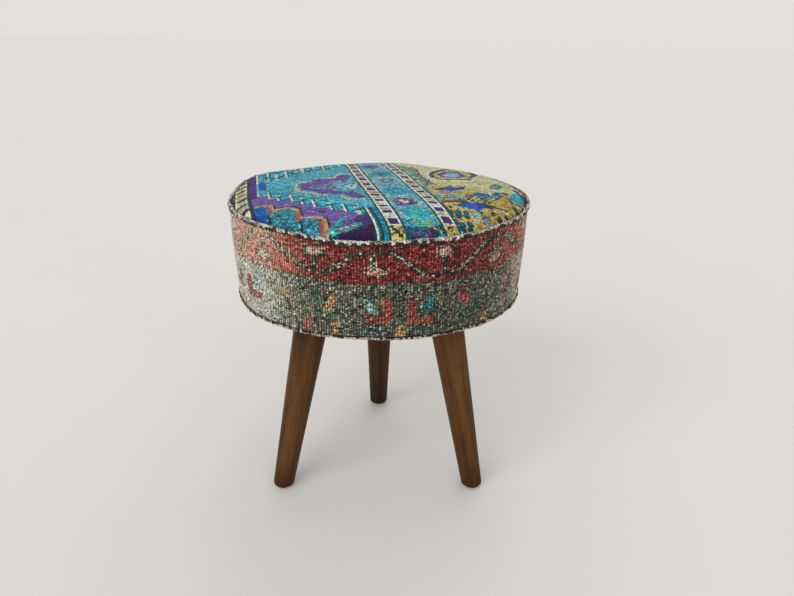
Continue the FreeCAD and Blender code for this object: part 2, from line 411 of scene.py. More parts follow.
def bell(angle, high, middle, spread):
    """A bell curve over the angle from the front, middle and spread in degrees."""
    return high * hill(np.degrees(from_front(angle)), middle, spread)


def rim_sag(angle):
    """Bells down at the front and left, up behind the left and at the right, and two slow waves."""
    waves = 0.7 * np.sin(5 * angle + 0.6) + 0.5 * np.sin(9 * angle + 2.0)
    return waves + sum(bell(angle, *one) for one in RIM_BELLS)


def foot_sag(angle):
    """The foot hangs a little lower at the front left, and wanders by half a millimetre."""
    return bell(angle, *FOOT_BELL) + 0.4 * np.sin(11 * angle + 1.0)


def pushed_out(points):
    """Upholstery stands out on the left, by the root of the height and the cube of the radius."""
    x, y, z = points.T
    share = np.clip((z - DRUM_FOOT) / DRUM_TALL, 0, 1) ** 0.5 * np.clip(np.hypot(x, y) / RIM, 0, 1) ** 3
    grow = 1 + bell(np.arctan2(y, x), *OUT_BELL) * share / RIM
    return np.stack([x * grow, y * grow, z], 1)


def crown(x, y):
    """Rim height plus a rise that falls with a power of the radius, plus the rim's sag and a slow wave."""
    share = np.clip(np.hypot(x, y) / RIM, 0, 1)
    slow = 0.6 * np.sin(x / 31 + 1.0) * np.cos(y / 27) * (1 - share**4)
    return RIM_HEIGHT + CROWN_RISE * (1 - share**CROWN_POWER) + rim_sag(np.arctan2(y, x)) * share**3 + slow


print("crown in the middle, mm:", round(float(crown(0.0, 0.0)), 1))

# %% [markdown]
# ## The top's lattice of knots
# The top was cut from a larger rug that lies askew on the seat: its rows run from side to side,
# but its columns lean, and lean more towards the front, where the carpet is pulled over the foam.
# Three long ladder stripes of the rug show how its columns run, so they guide the whole lattice.
# Each knot is four small faces with a raised middle. Knots outside the rim are dropped and the
# last points are drawn in to the circle, where the edge hides them.

# %% Guides and top lattice
KNOT = 2.5
LEFT_LADDER = ((-212, 165), (-196, 65), (-190.5, 36), (-184, -5), (-176.5, -51), (-170.5, -80), (-164, -105),
               (-157, -130), (-148, -165))
FIRST_LADDER = ((-58, 190), (-46, 125), (-43, 105), (-35, 50), (-25.5, 0), (-15, -50), (-2.5, -100),
                (3.5, -125), (14.5, -161), (19.5, -182), (21.5, -200))
SECOND_LADDER = ((1, 190), (15, 100), (20.5, 68), (27, 38), (33, 9), (38.5, -20), (45, -44), (50.5, -66),
                 (58, -88), (64, -107), (70, -125), (77, -150), (86, -185), (89, -202))
GUIDE_COLUMNS = (-184.8, -25.5, 34.8)


def centre_line(points, y):
    """The x of a long stripe's middle at each y, between points given from far to near."""
    far_to_near = np.array(points, float)[::-1]
    return np.interp(y, far_to_near[:, 1], far_to_near[:, 0])


def carried(value, a, b):
    """Carries a value from guides a to guides b: in proportion between them, as a shift outside them."""
    first = b[0] + (value - a[0]) * (b[1] - b[0]) / (a[1] - a[0])
    second = b[1] + (value - a[1]) * (b[2] - b[1]) / (a[2] - a[1])
    left, right = value - a[0] + b[0], value - a[2] + b[2]
    return np.where(value < a[0], left, np.where(value < a[1], first, np.where(value < a[2], second, right)))


def guides(y):
    return [centre_line(points, y) for points in (LEFT_LADDER, FIRST_LADDER, SECOND_LADDER)]


def top_lattice():
    """Points of a lattice at half a knot's pitch, and the faces whose middles are within the rim."""
    reach = int(np.ceil(RIM * 1.35 / KNOT))
    half = np.arange(-2 * reach, 2 * reach + 1) * KNOT / 2
    column, y = np.meshgrid(half, half)
    x = carried(column, GUIDE_COLUMNS, guides(y))
    faces = grid_faces(len(half), len(half))
    middle_x, middle_y = x.ravel()[faces].mean(1), y.ravel()[faces].mean(1)
    kept = faces[np.hypot(middle_x, middle_y) < RIM - 0.2 * KNOT]
    used, packed = np.unique(kept, return_inverse=True)
    return x.ravel()[used], y.ravel()[used], packed.reshape(-1, 4), used, len(half)


def open_edges(faces):
    """Edges that one face uses, each in the direction in which its face runs."""
    start, end = faces.ravel(), np.roll(faces, -1, axis=1).ravel()
    big = faces.max() + 1
    alone = ~np.isin(start * big + end, end * big + start)
    return start[alone], end[alone]


top_x, top_y, top_faces, top_used, top_side = top_lattice()
rim_start, rim_end = open_edges(top_faces)
radius = np.hypot(top_x, top_y)
rim_points = np.unique(rim_start)
top_x[rim_points] *= RIM / radius[rim_points]
top_y[rim_points] *= RIM / radius[rim_points]
print("faces of the top:", len(top_faces), "edges round it:", len(rim_start))

# %% [markdown]
# ## Colours of the wool
# Old dyes: a turquoise field, deep purple, madder red, gold, and undyed wool that has gone cream.
# Each is written as it is seen, so the numbers can be compared with the real object.

# %% Wool colours
TURQUOISE, BRIGHT_TURQUOISE = (80, 172, 192), (18, 176, 202)
DARK_TEAL, TEAL = (8, 54, 68), (26, 116, 136)
PURPLE, DEEP_PURPLE, NIGHT_PURPLE = (100, 72, 148), (70, 34, 106), (44, 20, 66)
BLUE, BRIGHT_BLUE, PALE_BLUE = (26, 88, 156), (10, 80, 172), (126, 196, 214)
GOLD, DEEP_GOLD, PALE_GOLD = (206, 181, 104), (206, 158, 56), (208, 204, 152)
CREAM, YELLOW_GREEN = (228, 228, 192), (176, 194, 106)
ORANGE, MAUVE, MAGENTA = (200, 146, 84), (118, 96, 146), (94, 46, 92)
LEAF, DARK_GREEN, SEA_GREEN, BROWN = (92, 146, 136), (20, 60, 54), (14, 156, 152), (106, 82, 62)
print("wool colours are named")

# %% [markdown]
# ## The field on the left
# A six-sided turquoise medallion on purple. Its stepped arms are edged by a thin cream stair, with
# long cream rungs at every second step and small bright blocks between, and a tulip lies in the
# field. On the far left runs one ladder stripe of the rug's border.

# %% Medallion
LOWER_STAIR = ((-156, -55), (-141, -56), (-139, -73), (-127, -74), (-125, -86), (-108, -87), (-106, -98),
               (-93, -99), (-91, -111), (-78, -112), (-76, -122), (-59, -123), (-57, -131), (-42, -131),
               (-40, -138), (-25, -138), (-23, -144), (-9, -144))
UPPER_STAIR = ((-175, 67), (-163, 69), (-150, 71), (-138, 79), (-127, 80), (-126, 92), (-117, 93),
               (-104, 94), (-103, 104), (-90, 105), (-89, 115), (-77, 116), (-75, 130), (-67, 131),
               (-66, 147), (-50, 150))
LOWER_RUNGS = ((-141.5, -45, -72), (-108.5, -71, -98), (-79.5, -97, -122), (-43.5, -114, -138))
UPPER_RUNGS = ((-157, 86, 10), (-132, 77, 21), (-112, 92, 44), (-84.5, 114, 60), (-62, 146, 88))
LOWER_TICKS = ((-126, -67, -86), (-94, -90, -111), (-60, -111, -131), (-26, -126, -144))
UPPER_TICKS = ((-142, 42, 12), (-122, 88, 50), (-96.5, 92, 60), (-70.5, 96, 66))
LOWER_BLOCKS = ((-133, -62), (-117, -79), (-100, -91), (-86, -102), (-69, -113), (-51, -122), (-34, -129),
                (-17, -136))
UPPER_BLOCKS = ((-150, 46), (-138, 52), (-119, 62), (-104, 68), (-91, 80), (-78, 86), (-67, 102))


class RugChart(Chart):
    """A chart that also knows each knot's column, so stripes and rungs follow the rug's own lean."""

    def __init__(self, x, y, ground):
        super().__init__(x, y, ground)
        self.column = carried(x, guides(y), GUIDE_COLUMNS)

    def column_of(self, x, y):
        return float(carried(np.array(float(x)), guides(np.array(float(y))), GUIDE_COLUMNS))

    def stripe(self, colour, middle, width, far=300, near=-300):
        """A band of columns between two rows."""
        rows = (self.y < far) & (self.y > near)
        self.put(rows & (abs(self.column - middle) < width / 2), colour)


def ladder(chart, column, half, dashes):
    """A stripe with dark outlines and cream borders; its dashes lie one under another between them."""
    chart.stripe((14, 74, 80), column, 2 * half + 4.6)
    chart.stripe((232, 244, 216), column, 2 * half)
    inner = abs(chart.column - column) < half - 2.8
    chart.mottled(inner, (196, 204, 186), ((138, 124, 104), 0.34), ((200, 178, 162), 0.25))
    for y, colour, high in dashes:
        rows = abs(chart.y - y)
        chart.put(inner & (rows < high / 2 + 2.5) & (rows > high / 2), CREAM)
        chart.put(inner & (rows < high / 2), colour)


def medallion(chart):
    """The purple ground, the turquoise six-sided field, its stepped arms and its side strips."""
    chart.fill((110, 90, 164), (-215, 60), (-172, -45), (-150, -205), (12, -205), (-8, -120), (-60, 160),
               (-120, 190), (-215, 190))
    chart.mottled((chart.y > 62) & (chart.x > -176), (72, 150, 168), ((150, 190, 180), 0.12))
    for up in (26, 54, 82):
        row = tuple((x - 3, y + up) for x, y in UPPER_BLOCKS)
        chart.spots((26, 104, 120), 13, 22, *row, power=2.6)
        chart.spots(BRIGHT_TURQUOISE, 8, 15, *row, power=2.6)
        chart.spots(CREAM, 3, 15, *((x - 7, y) for x, y in row), power=6)
    chart.speckle(chart.y < 70, (120, 106, 168), 0.12)
    chart.fill((76, 44, 116), (-46, -205), (-52, -178), (-30, -160), (-24, -142), (0, -146), (12, -205))
    chart.speckle(chart.inside(((-40, -190), (-24, -142), (0, -146), (0, -190))), (96, 50, 112), 0.2)
    field = chart.inside((*LOWER_STAIR, (-4, -146), (-30, 30), *UPPER_STAIR[::-1]))
    chart.mottled(field, TURQUOISE, ((96, 178, 190), 0.2), ((40, 140, 166), 0.18))
    chart.line((150, 200, 196), 2.4, *LOWER_STAIR)
    chart.line((150, 196, 190), 2.4, *UPPER_STAIR)


def stepped_arms(chart):
    """Bright blocks between the rungs, dark beside each rung, and short ticks with a gap in them."""
    chart.spots((20, 104, 122), 15, 21, *LOWER_BLOCKS, power=2.6)
    chart.spots((12, 82, 102), 14, 54, *UPPER_BLOCKS, power=2.6)
    chart.spots(BRIGHT_TURQUOISE, 10, 15, *LOWER_BLOCKS, power=2.6)
    chart.spots(BRIGHT_TURQUOISE, 9, 34, *UPPER_BLOCKS, power=2.6)
    for x, top, foot in (*LOWER_RUNGS, *UPPER_RUNGS):
        column = chart.column_of(x, (top + foot) / 2)
        chart.stripe((18, 96, 116), column + 2.8, 2.4, top - 3, foot + 3)
        chart.stripe(CREAM, column, 2.8, top, foot)
    for x, top, foot in (*LOWER_TICKS, *UPPER_TICKS):
        column = chart.column_of(x, (top + foot) / 2)
        tall = 3.6 if top > 40 else 1
        chart.stripe((14, 92, 112), column + 1.5, 4.6, top - 3, (top + foot) / 2)
        chart.stripe(CREAM, column, 4.4, top + 2 * tall, top - 3 * tall)
        chart.stripe(CREAM, column, 2.8, foot + 8, foot)
    chart.line(DARK_TEAL, 8.0, (-179, 70), (-167, -10), (-159, -55))
    chart.line(CREAM, 4.0, (-176, 68), (-164.5, -10), (-156, -54))
    chart.fill(TEAL, (-172, 62), (-162, 62), (-152, 30), (-158, 28))
    chart.spots(BRIGHT_TURQUOISE, 6, 9, (-166, 52), (-158, -36), (-151, -40))
    chart.fill(BRIGHT_BLUE, (-161, 24), (-150, -6), (-147, -34), (-158, -24), (-163, 6))
    for x in (-143, -134, -126, -117):
        chart.line(TEAL, 1.6, (x, 2), (x + 8, -12))


print("the medallion has", len(LOWER_RUNGS) + len(UPPER_RUNGS), "long rungs")


# %% Tulip, cloud border and sprig
TULIP = ((-104, -20), (-104, -31), (-99, -54), (-93, -60), (-85, -63), (-80, -69), (-76, -77), (-63, -81),
         (-51, -82), (-43, -83), (-39, -91), (-32, -96), (-20, -97), (-18, -91), (-24, -82), (-29, -78),
         (-33, -67), (-36, -64), (-39, -75), (-50, -71), (-57, -68), (-64, -63), (-75, -58), (-87, -51),
         (-93, -42), (-88, -36), (-80, -32), (-71, -28), (-67, -19), (-60, -17), (-53, -12), (-50, -22),
         (-45, -25), (-43, -4), (-40, 10), (-43, 21), (-51, 23), (-59, 16), (-60, 0), (-69, 1), (-85, 2),
         (-90, -7), (-91, -14))
TULIP_EDGES = (((-61, 12), (-58, 25), (-43, 26)), ((-72, 8), (-63, 5), (-61, 12)),
               ((-91, -10), (-100, -14), (-109, -20), (-109, -34), (-104, -57), (-96, -65), (-84, -73),
                (-75, -83), (-63, -86)), ((-48, -87), (-45, -94), (-38, -100), (-26, -102), (-19, -99)))


def tulip(chart):
    """A flower lying on its side: a gold outline, purple petals and pale veins that open to the right."""
    chart.fill(PURPLE, (-93, -42), (-70, -24), (-60, -18), (-52, -30), (-48, -48), (-50, -68), (-66, -62))
    chart.fill((96, 172, 196), (-62, -22), (-50, -16), (-46, -48), (-40, -68), (-52, -62), (-58, -46))
    chart.fill(PURPLE, *TULIP)
    for vein in (((-91, -43), (-61, -44), (-45, -46)), ((-73, -32), (-60, -28), (-50, -33), (-44, -42)),
                 ((-71, -55), (-58, -61), (-50, -67), (-42, -64)), ((-82, -37), (-62, -36), (-48, -41)),
                 ((-80, -50), (-62, -52), (-46, -55))):
        chart.line((128, 190, 206), 2.3, *vein)
    chart.line(TEAL, 2.0, (-48, -30), (-36, -30), (-33, -42))
    for edge in TULIP_EDGES:
        chart.line((214, 196, 142), 3.3, *edge)
    chart.line((170, 190, 190), 2.0, (-88, 4), (-66, 4))
    chart.fill(CREAM, (-44, -40), (-39, -35), (-31, -36), (-29, -50), (-35, -57), (-42, -50))
    chart.line(LEAF, 2.2, (-38, -40), (-36, -51))


def cloud_border(chart):
    """A scalloped band along the front left: gold outlines with red ends over blue and teal clouds."""
    chart.fill((44, 132, 152), (-158, -92), (-140, -96), (-129, -104), (-125, -118), (-108, -117),
               (-96, -128), (-91, -147), (-66, -150), (-61, -166), (-56, -205), (-190, -205), (-190, -92))
    cloud = chart.inside(((-126, -118), (-100, -122), (-88, -150), (-60, -160), (-56, -205), (-150, -205)))
    chart.speckle(cloud, (84, 168, 180), 0.3)
    chart.speckle(cloud, (18, 88, 108), 0.22)
    chart.line((206, 166, 124), 5.4, (-159, -96), (-153, -92), (-145, -92))
    for run in (((-145, -92), (-137, -96), (-131, -101), (-128, -112)),
                ((-124, -117), (-118, -114), (-108, -116), (-98, -124), (-93, -130), (-91, -142)),
                ((-90, -146), (-78, -146), (-65, -151), (-61, -164), (-56, -192))):
        chart.line(ORANGE, 4.4, *run)
    for run in (((-132, -107), (-129, -122)), ((-96.5, -134), (-92.5, -150)), ((-68, -156), (-63, -182))):
        chart.line((168, 94, 86), 5.6, *run)
    chart.line(DARK_GREEN, 2.4, (-128, -104), (-124, -112), (-106, -111), (-95, -121), (-88, -142))
    chart.line(DARK_GREEN, 2.4, (-60, -150), (-56, -166), (-51, -192))
    chart.fill(BRIGHT_BLUE, (-155, -101), (-148, -97), (-141, -99), (-137, -106), (-134, -124), (-131, -140),
               (-150, -150), (-165, -125))
    chart.line(DARK_TEAL, 3.0, (-132, -126), (-128, -136), (-127, -150))
    chart.line(DARK_TEAL, 2.6, (-92, -154), (-88, -168), (-84, -178))


def sprig(chart):
    """A turquoise twig with one short leaf and one long leaf that has a dotted red rib."""
    chart.fill(NIGHT_PURPLE, (-60, -205), (-52, -190), (-34, -181), (-16, -174), (-4, -160), (12, -205))
    chart.line(DARK_TEAL, 13, (-51, -181), (-38, -176), (-25, -168))
    chart.line(SEA_GREEN, 10, (-51, -179), (-38, -174), (-25, -167))
    chart.line(SEA_GREEN, 6, (-54, -176), (-47, -164), (-42, -152))
    chart.line((60, 196, 186), 2.4, (-50, -166), (-43, -153))
    rib = ((-52, -180), (-38, -173), (-26, -166.5))
    chart.line((156, 78, 100), 4.2, *rib)
    chart.speckle(chart.distance(rib) < 2.0, (226, 200, 196), 0.4)


def left_edge(chart):
    """The leftmost ladder with slanting brown and purple dashes, and the strips on both sides of it."""
    column, half = GUIDE_COLUMNS[0], 8.4
    chart.put(chart.column < column - 8, (96, 158, 156))
    chart.speckle(chart.column < column - 11, (40, 96, 92), 0.3)
    chart.speckle(chart.column < column - 11, CREAM, 0.3)
    ladder(chart, column, half, ())
    chart.speckle(abs(chart.column - column) < half, (228, 222, 142), 0.5)
    for x, y, colour in ((-193, 48, BROWN), (-190, 30, (104, 84, 66)), (-187, 12, BROWN),
                         (-184, -9, (78, 50, 60)), (-180, -30, (150, 150, 78)), (-175, -53, (52, 20, 66)),
                         (-171, -76, (60, 104, 76)), (-166, -98, (58, 24, 80))):
        chart.line(colour, 8.4, (x - 3, y - 3), (x + 3, y + 3))
    chart.put((chart.column > column + 8.2) & (chart.column < column + 21) & (chart.y > -60), DARK_TEAL)
    chart.stripe((74, 48, 122), column + 14.5, 8.6, near=-62)
    chart.stripe((52, 30, 84), column + 11.6, 2.4, far=-60, near=-135)


print("the tulip has", len(TULIP), "points")

# %% [markdown]
# ## The middle band and the two ladders
# Two cream ladders with purple dashes run from the far edge to the front, and between them a
# turquoise band carries small rosettes, turquoise and purple in turn.


# %% Ladders and rosettes
def star_flower(chart, x, y, wide, high, colour, petals=3, turned=0.4):
    """A flower whose edge swings in and out: 0.74 of its size plus 0.26 times a cosine of the angle."""
    dx, dy = (chart.x - x) / wide, (chart.y - y) / high
    away = np.hypot(dx, dy)
    edge = 0.5 * (0.74 + 0.26 * abs(np.cos(petals * np.arctan2(dy, dx) + turned)))
    chart.put(away < edge, colour)
    return away < edge


def rosette(chart, x, y, wide, high, outside, inside, heart, rim=None):
    """Three star flowers, one in another, with a broken pale line round them."""
    if rim is not None:
        halo = star_flower(chart, x, y, wide * 1.2, high * 1.2, TURQUOISE)
        chart.speckle(halo, rim, 0.35)
    petals = star_flower(chart, x, y, wide, high, outside)
    chart.speckle(petals, TURQUOISE, 0.15)
    star_flower(chart, x, y, wide * 0.6, high * 0.6, inside)
    chart.spots(heart, wide * 0.24, high * 0.24, (x, y))


def middle_band(chart):
    """The turquoise band between the ladders with its rosettes, from far to near."""
    band = (chart.column > GUIDE_COLUMNS[1]) & (chart.column < GUIDE_COLUMNS[2])
    chart.mottled(band, (110, 180, 196), ((60, 152, 178), 0.22), ((180, 190, 186), 0.15))
    # Deeper turquoise near the front; the paler band further back is partly faded wool and partly painted
    # sheen of the pile seen at a low angle.
    chart.speckle(band & (chart.y < -95), (50, 162, 192), 0.5)
    chart.put(band & (chart.y < -171 + 0.2 * (chart.x - 40)), (10, 58, 88))
    chart.speckle(band & (chart.y < -158), TEAL, 0.35)
    rosette(chart, -15, 88, 32, 44, (104, 104, 150), (70, 74, 130), BLUE, PALE_GOLD)
    rosette(chart, -1, 28, 36, 46, (34, 152, 172), (18, 126, 156), (70, 120, 96), (176, 190, 140))
    chart.speckle(chart.distance(((-10, 24), (-8, 12))) < 4, (120, 150, 96), 0.5)
    rosette(chart, 9, -14, 27, 26, (112, 114, 148), (94, 82, 124), (160, 190, 190), (186, 186, 180))
    chart.line((84, 52, 84), 2.4, (1, -10), (16, -8))
    rosette(chart, 22, -65, 40, 40, (30, 168, 196), (8, 142, 178), (90, 196, 200), (180, 206, 190))
    chart.speckle(chart.distance(((8, -88), (18, -89), (30, -88))) < 2.2, (206, 212, 160), 0.7)
    rosette(chart, 30, -108, 34, 34, (112, 86, 138), (94, 62, 112), (190, 200, 150), (190, 186, 160))
    chart.spots((72, 34, 66), 8, 6, (37, -114), power=1.5)
    chart.spots((188, 200, 190), 4, 6, (26, -104), (33, -104))
    chart.spots((176, 158, 110), 7, 8, (48, -115), (25, -38), power=1.5)
    chart.spots((176, 158, 110), 6, 6, (22, -131), power=1.5)
    rosette(chart, 43, -138, 38, 34, BRIGHT_TURQUOISE, (10, 188, 212), (120, 206, 170), (150, 190, 160))
    chart.spots(YELLOW_GREEN, 4, 4, (40, -137), (52, -130))
    rosette(chart, 49, -160, 28, 17, (94, 186, 150), (70, 190, 180), YELLOW_GREEN, (180, 172, 110))
    chart.line((160, 156, 106), 2.4, (24, -146), (34, -152), (40, -156))
    chart.line((184, 156, 84), 3.4, (55, -161), (62, -169), (70, -177))
    purple_ends = chart.distance(((41, -184), (44, -184))) < 4.4
    chart.speckle(purple_ends | (chart.distance(((53, -183), (56, -182))) < 4), MAGENTA, 0.75)


def both_ladders(chart):
    """The ladders with their dashes, the gold ends below the last dash, and the stripes beside them."""
    first = (*((y, (56, 26, 50), 12.4) for y in (146, 122, 98, 74, 46, 20, -7)), (-35, (56, 24, 60), 10),
             (-60, (56, 24, 68), 8.4), (-83, (58, 24, 74), 7.4), (-103, DEEP_PURPLE, 6.6),
             (-122, DEEP_PURPLE, 6.4), (-139, DEEP_PURPLE, 6.4), (-161, DEEP_PURPLE, 11))
    second = (*((y, (58, 30, 52), 12) for y in (136, 112, 88, 63, 38, 9)), (-20, (58, 28, 56), 10),
              (-44, (56, 26, 64), 8.6), (-66, (58, 24, 72), 8), (-88, DEEP_PURPLE, 7.6),
              (-107, DEEP_PURPLE, 7.8), (-125, DEEP_PURPLE, 8), (-150, DEEP_PURPLE, 13))
    half = 7.6
    for column, marks, gold_from in ((GUIDE_COLUMNS[1], first, -169), (GUIDE_COLUMNS[2], second, -159)):
        ladder(chart, column, half, marks)
        end = (abs(chart.column - column) < half) & (chart.y < gold_from)
        chart.put(end, (206, 188, 112))
        chart.put(end & (abs(chart.column - column) < half - 2.8), GOLD)
        chart.speckle(end, BROWN, 0.12)
    chart.line(DARK_GREEN, 4.0, (13, -173), (24, -188))
    chart.line(DARK_GREEN, 3.0, (24, -174), (14, -186))
    chart.spots(DARK_GREEN, 4, 7, (79, -166), (85, -176))
    for off, colour, width in ((-12.0, (24, 128, 156), 4.6), (-15.2, DARK_TEAL, 2.6), (-18.2, TEAL, 2.6),
                               (-20.9, CREAM, 2.8), (-23.2, DARK_TEAL, 2.0)):
        chart.stripe(colour, GUIDE_COLUMNS[1] + off, width, far=-128)


print("stripes follow columns", GUIDE_COLUMNS)

# %% [markdown]
# ## The gold field on the right
# A leafy green wedge beside the second ladder, an eight-sided cartouche at the back, two blue
# flowers with dark pointed tips, short bars of pink and turquoise, and a fringe of dark leaves
# along the front edge. Many of these are cut through by the rim, as they were in the rug.

# %% Gold field
CARTOUCHE = ((CREAM, ((61, 29), (70, 68), (92, 106), (118, 130), (140, 128), (148, 78), (126, 9),
                      (83, -5), (66, 3))),
             (DARK_GREEN, ((66, 30), (74, 60), (95, 96), (120, 120), (136, 118), (142, 77), (124, 16),
                           (83, 2), (70, 11))),
             (GOLD, ((74, 36), (88, 68), (112, 96), (126, 94), (130, 62), (120, 22), (84, 8), (76, 20))),
             (PURPLE, ((80, 42), (91, 62), (108, 78), (116, 72), (120, 40), (109, 26), (84, 16))),
             (PALE_BLUE, ((86, 32), (96, 56), (109, 64), (112, 40), (102, 25), (90, 23))))
FIRST_FLOWER = ((67, -52), (78, -44), (90, -30), (99, -36), (111, -26), (106, -43), (98, -50), (90, -59),
                (84, -53), (76, -56))
SECOND_FLOWER = ((88, -110), (98, -105), (103, -95), (108, -90), (113, -96), (122, -86), (127, -92),
                 (138, -94), (127, -106), (117, -119), (112, -115), (104, -113))
SCROLL = ((166, -54), (173, -30), (181, -14), (187, -28), (187, -52))


def gold_field(chart):
    """The ground to the right of the second ladder, paler far away and deeper near the front; the paleness
    far away is partly faded wool and partly painted sheen seen at a low angle.
    """
    ground = chart.column > GUIDE_COLUMNS[2] + 8
    chart.put(ground, PALE_GOLD)
    chart.speckle(ground & (chart.y < 20), GOLD, 0.3)
    near = ground & (chart.y < -62 + 0.1 * chart.x)
    chart.mottled(near, GOLD, (DEEP_GOLD, 0.4), ((150, 132, 60), 0.12))
    chart.fill(GOLD, (60, -34), (78, -34), (70, -52), (74, -68), (66, -76), (58, -50))
    chart.fill(DEEP_GOLD, (150, -86), (158, -90), (168, -80), (172, -55), (170, -42), (162, -46), (153, -66))
    wedge = chart.inside(((20, 115), (46, 92), (52, 66), (56, 14), (64, -5), (71, -27), (58, -38), (40, 0)))
    chart.mottled(wedge, LEAF, (DARK_GREEN, 0.3), (PALE_GOLD, 0.22))
    chart.line(DARK_GREEN, 2.4, (46, 92), (52, 66), (56, 14), (64, -5), (72, -28))
    chart.spots(MAUVE, 6, 10, (63, -12), (57, 20))
    chart.line((120, 160, 146), 3.0, (48, 0), (57, -40), (63, -68), (71, -96))
    chart.line((22, 86, 88), 3.4, (71, -100), (83, -126), (88, -150), (91, -185))
    chart.speckle(ground & (chart.y < -50) & (chart.x < 120), (132, 178, 162), 0.2)
    chart.speckle(ground & (chart.y < -62), (64, 104, 92), 0.05)


def cartouche(chart):
    """Outlines inside one another: cream, dark green, gold, purple, and a pale blue heart."""
    for colour, outline in CARTOUCHE:
        chart.fill(colour, *outline)
    ring = chart.inside(CARTOUCHE[1][1]) & ~chart.inside(CARTOUCHE[2][1])
    chart.speckle(ring, (118, 140, 120), 0.35)
    chart.spots(YELLOW_GREEN, 8, 10, (89, -10))
    chart.line(GOLD, 5, (76, -14), (92, -16))


def right_flowers(chart):
    """Two blue flowers with dark pointed tips, the bars between them, and a small red star."""
    chart.fill(BLUE, *FIRST_FLOWER)
    chart.fill(DARK_TEAL, (66, -53), (80, -43), (79, -56))
    chart.fill(DARK_TEAL, (101, -37), (113, -24), (107, -46))
    chart.spots(PURPLE, 7, 9, (90, -44))
    chart.fill(BRIGHT_BLUE, *SECOND_FLOWER)
    chart.fill(DARK_TEAL, (86, -110), (97, -104), (99, -111))
    chart.fill(DARK_TEAL, (128, -91), (142, -92), (137, -104), (126, -104))
    chart.line(DARK_TEAL, 2.4, (98, -103), (104, -92))
    chart.spots((92, 70, 170), 8, 10, (113, -103))
    chart.line((178, 160, 148), 7, (71, -72), (89, -64))
    chart.line(MAUVE, 2.6, (76, -71), (88, -66))
    chart.line(YELLOW_GREEN, 7, (93, -72), (105, -67))
    chart.line((60, 120, 116), 9.5, (72, -86), (104, -76))
    chart.line((128, 206, 202), 6.0, (72, -86), (104, -76))
    chart.line((142, 84, 96), 7.0, (77, -99), (100, -91))
    chart.line((84, 62, 50), 2.6, (79, -103), (103, -94))
    chart.spots((70, 34, 66), 8, 18, (112, -66), power=1.5)
    chart.spots((206, 130, 140), 4, 7, (112, -63), (113, -70))


def leaves_and_bars(chart):
    """Slanting dark, green and yellow bars above the near flower, and the leaves by the right rim."""
    for step in range(9):
        colour = ((24, 66, 56), (214, 196, 104), (30, 104, 108), (196, 204, 130))[step % 4]
        x = 105 + 3.6 * step
        chart.line(colour, 2.8, (x, -92 + 0.5 * step), (x + 15 + 0.8 * step, -64 + 1.6 * step))
    chart.line((30, 110, 132), 7, (118, -64), (133, -55), (150, -44))
    star_flower(chart, 130, -58, 26, 20, (24, 104, 150))
    chart.spots(BRIGHT_BLUE, 9, 10, (128, -59), (152, -40))
    chart.spots((190, 220, 220), 5, 7, (142, -49))
    chart.line((40, 140, 160), 6, (146, -54), (158, -46))
    chart.spots(MAUVE, 11, 13, (164, -34), power=1.5)
    chart.spots((70, 40, 70), 4, 6, (162, -38))
    chart.line(DARK_GREEN, 14, (152, -14), (161, 6))
    chart.line((60, 140, 160), 10, (156, -11), (162, 5))
    chart.spots(BLUE, 6, 10, (161, -6))
    chart.line((96, 150, 150), 7, (150, -14), (157, 2))
    chart.line(DARK_GREEN, 5.5, (190, -2), (184, 40), (170, 80), (152, 110), (134, 134), (118, 150))
    chart.line(CREAM, 3, (184, -2), (176, 44), (162, 78), (145, 106), (126, 128))
    chart.line((126, 90, 66), 2.6, (180, 8), (172, 44), (156, 80))
    chart.line(DARK_GREEN, 8, (182, -4), (190, -34), (188, -62))
    chart.fill((28, 166, 188), *SCROLL, (176, -64))
    chart.speckle(chart.inside(SCROLL), (90, 190, 200), 0.2)
    chart.line((20, 84, 92), 5, (165, -52), (168, -66), (180, -68))


def right_fringe(chart):
    """Dark leaves, small pale flowers and brown ends along the front edge on the right."""
    chart.line((16, 84, 92), 4.0, (136, -99), (150, -97), (166, -107))
    chart.spots(DARK_GREEN, 7, 13, (136, -117), (143, -128), (168, -85), (172, -92), power=1.7)
    chart.spots((10, 74, 88), 7.4, 19, (92.5, -133), (102, -133), (95, -159), (104.5, -156), power=4)
    chart.spots((20, 112, 120), 4, 8, (92.5, -130), (102, -130), (95, -155), (104.5, -152), power=2)
    chart.spots((108, 176, 196), 9, 9, (113, -132), power=2)
    chart.spots((214, 200, 190), 9, 4, (114, -141), power=4)
    chart.spots((30, 84, 92), 10, 21, (126, -139), power=2.6)
    chart.spots((104, 140, 164), 7, 18, (126, -139), power=2.6)
    chart.spots((176, 124, 52), 12, 8, (118, -154), (136, -138))
    chart.spots(DARK_GREEN, 5, 9, (121, -122), (152, -116), (84, -116))


def top_chart(x, y):
    """The whole top, laid down from the ground up."""
    chart = RugChart(x, y, PURPLE)
    for lay in (medallion, stepped_arms, tulip, cloud_border, sprig, left_edge, middle_band, gold_field,
                cartouche, right_flowers, leaves_and_bars, right_fringe, both_ladders):
        lay(chart)
    return chart.colour


print("the top's chart is ready")

# %% [markdown]
# ## Knots that differ a little
# Hand-spun wool takes dye unevenly, and a row is dyed from one batch, so a colour drifts from row
# to row. Each knot also differs from its neighbours, and its edges are darker than its middle,
# because light doesn't reach between the knots.


# %% Knot shading
def knot_shades(colour, rows, strength=0.11, drift=0.05):
    """Each knot's colour times one plus noise, plus a slow drift that is the same along its row."""
    count = int(rows.max()) + 1
    batch = np.convolve(draws.normal(size=count + 8), np.ones(9) / 3, "same")[:count] * drift
    shade = 1 + draws.normal(size=colour.shape[:-1]) * strength + batch[rows]
    tint = 1 + draws.normal(size=colour.shape) * 0.035
    return colour * np.clip(shade, 0.45, 1.7)[..., None] * tint


# %% [markdown]
# ## The top carpet
# It is a cloth five millimetres thick: the knotted face above, a rim that goes down under the
# edge, and the flat woven back, which is a few rings drawn in to a middle point. The back could be
# left out, but a sheet with two faces has a true thickness, so it prints and collides properly.

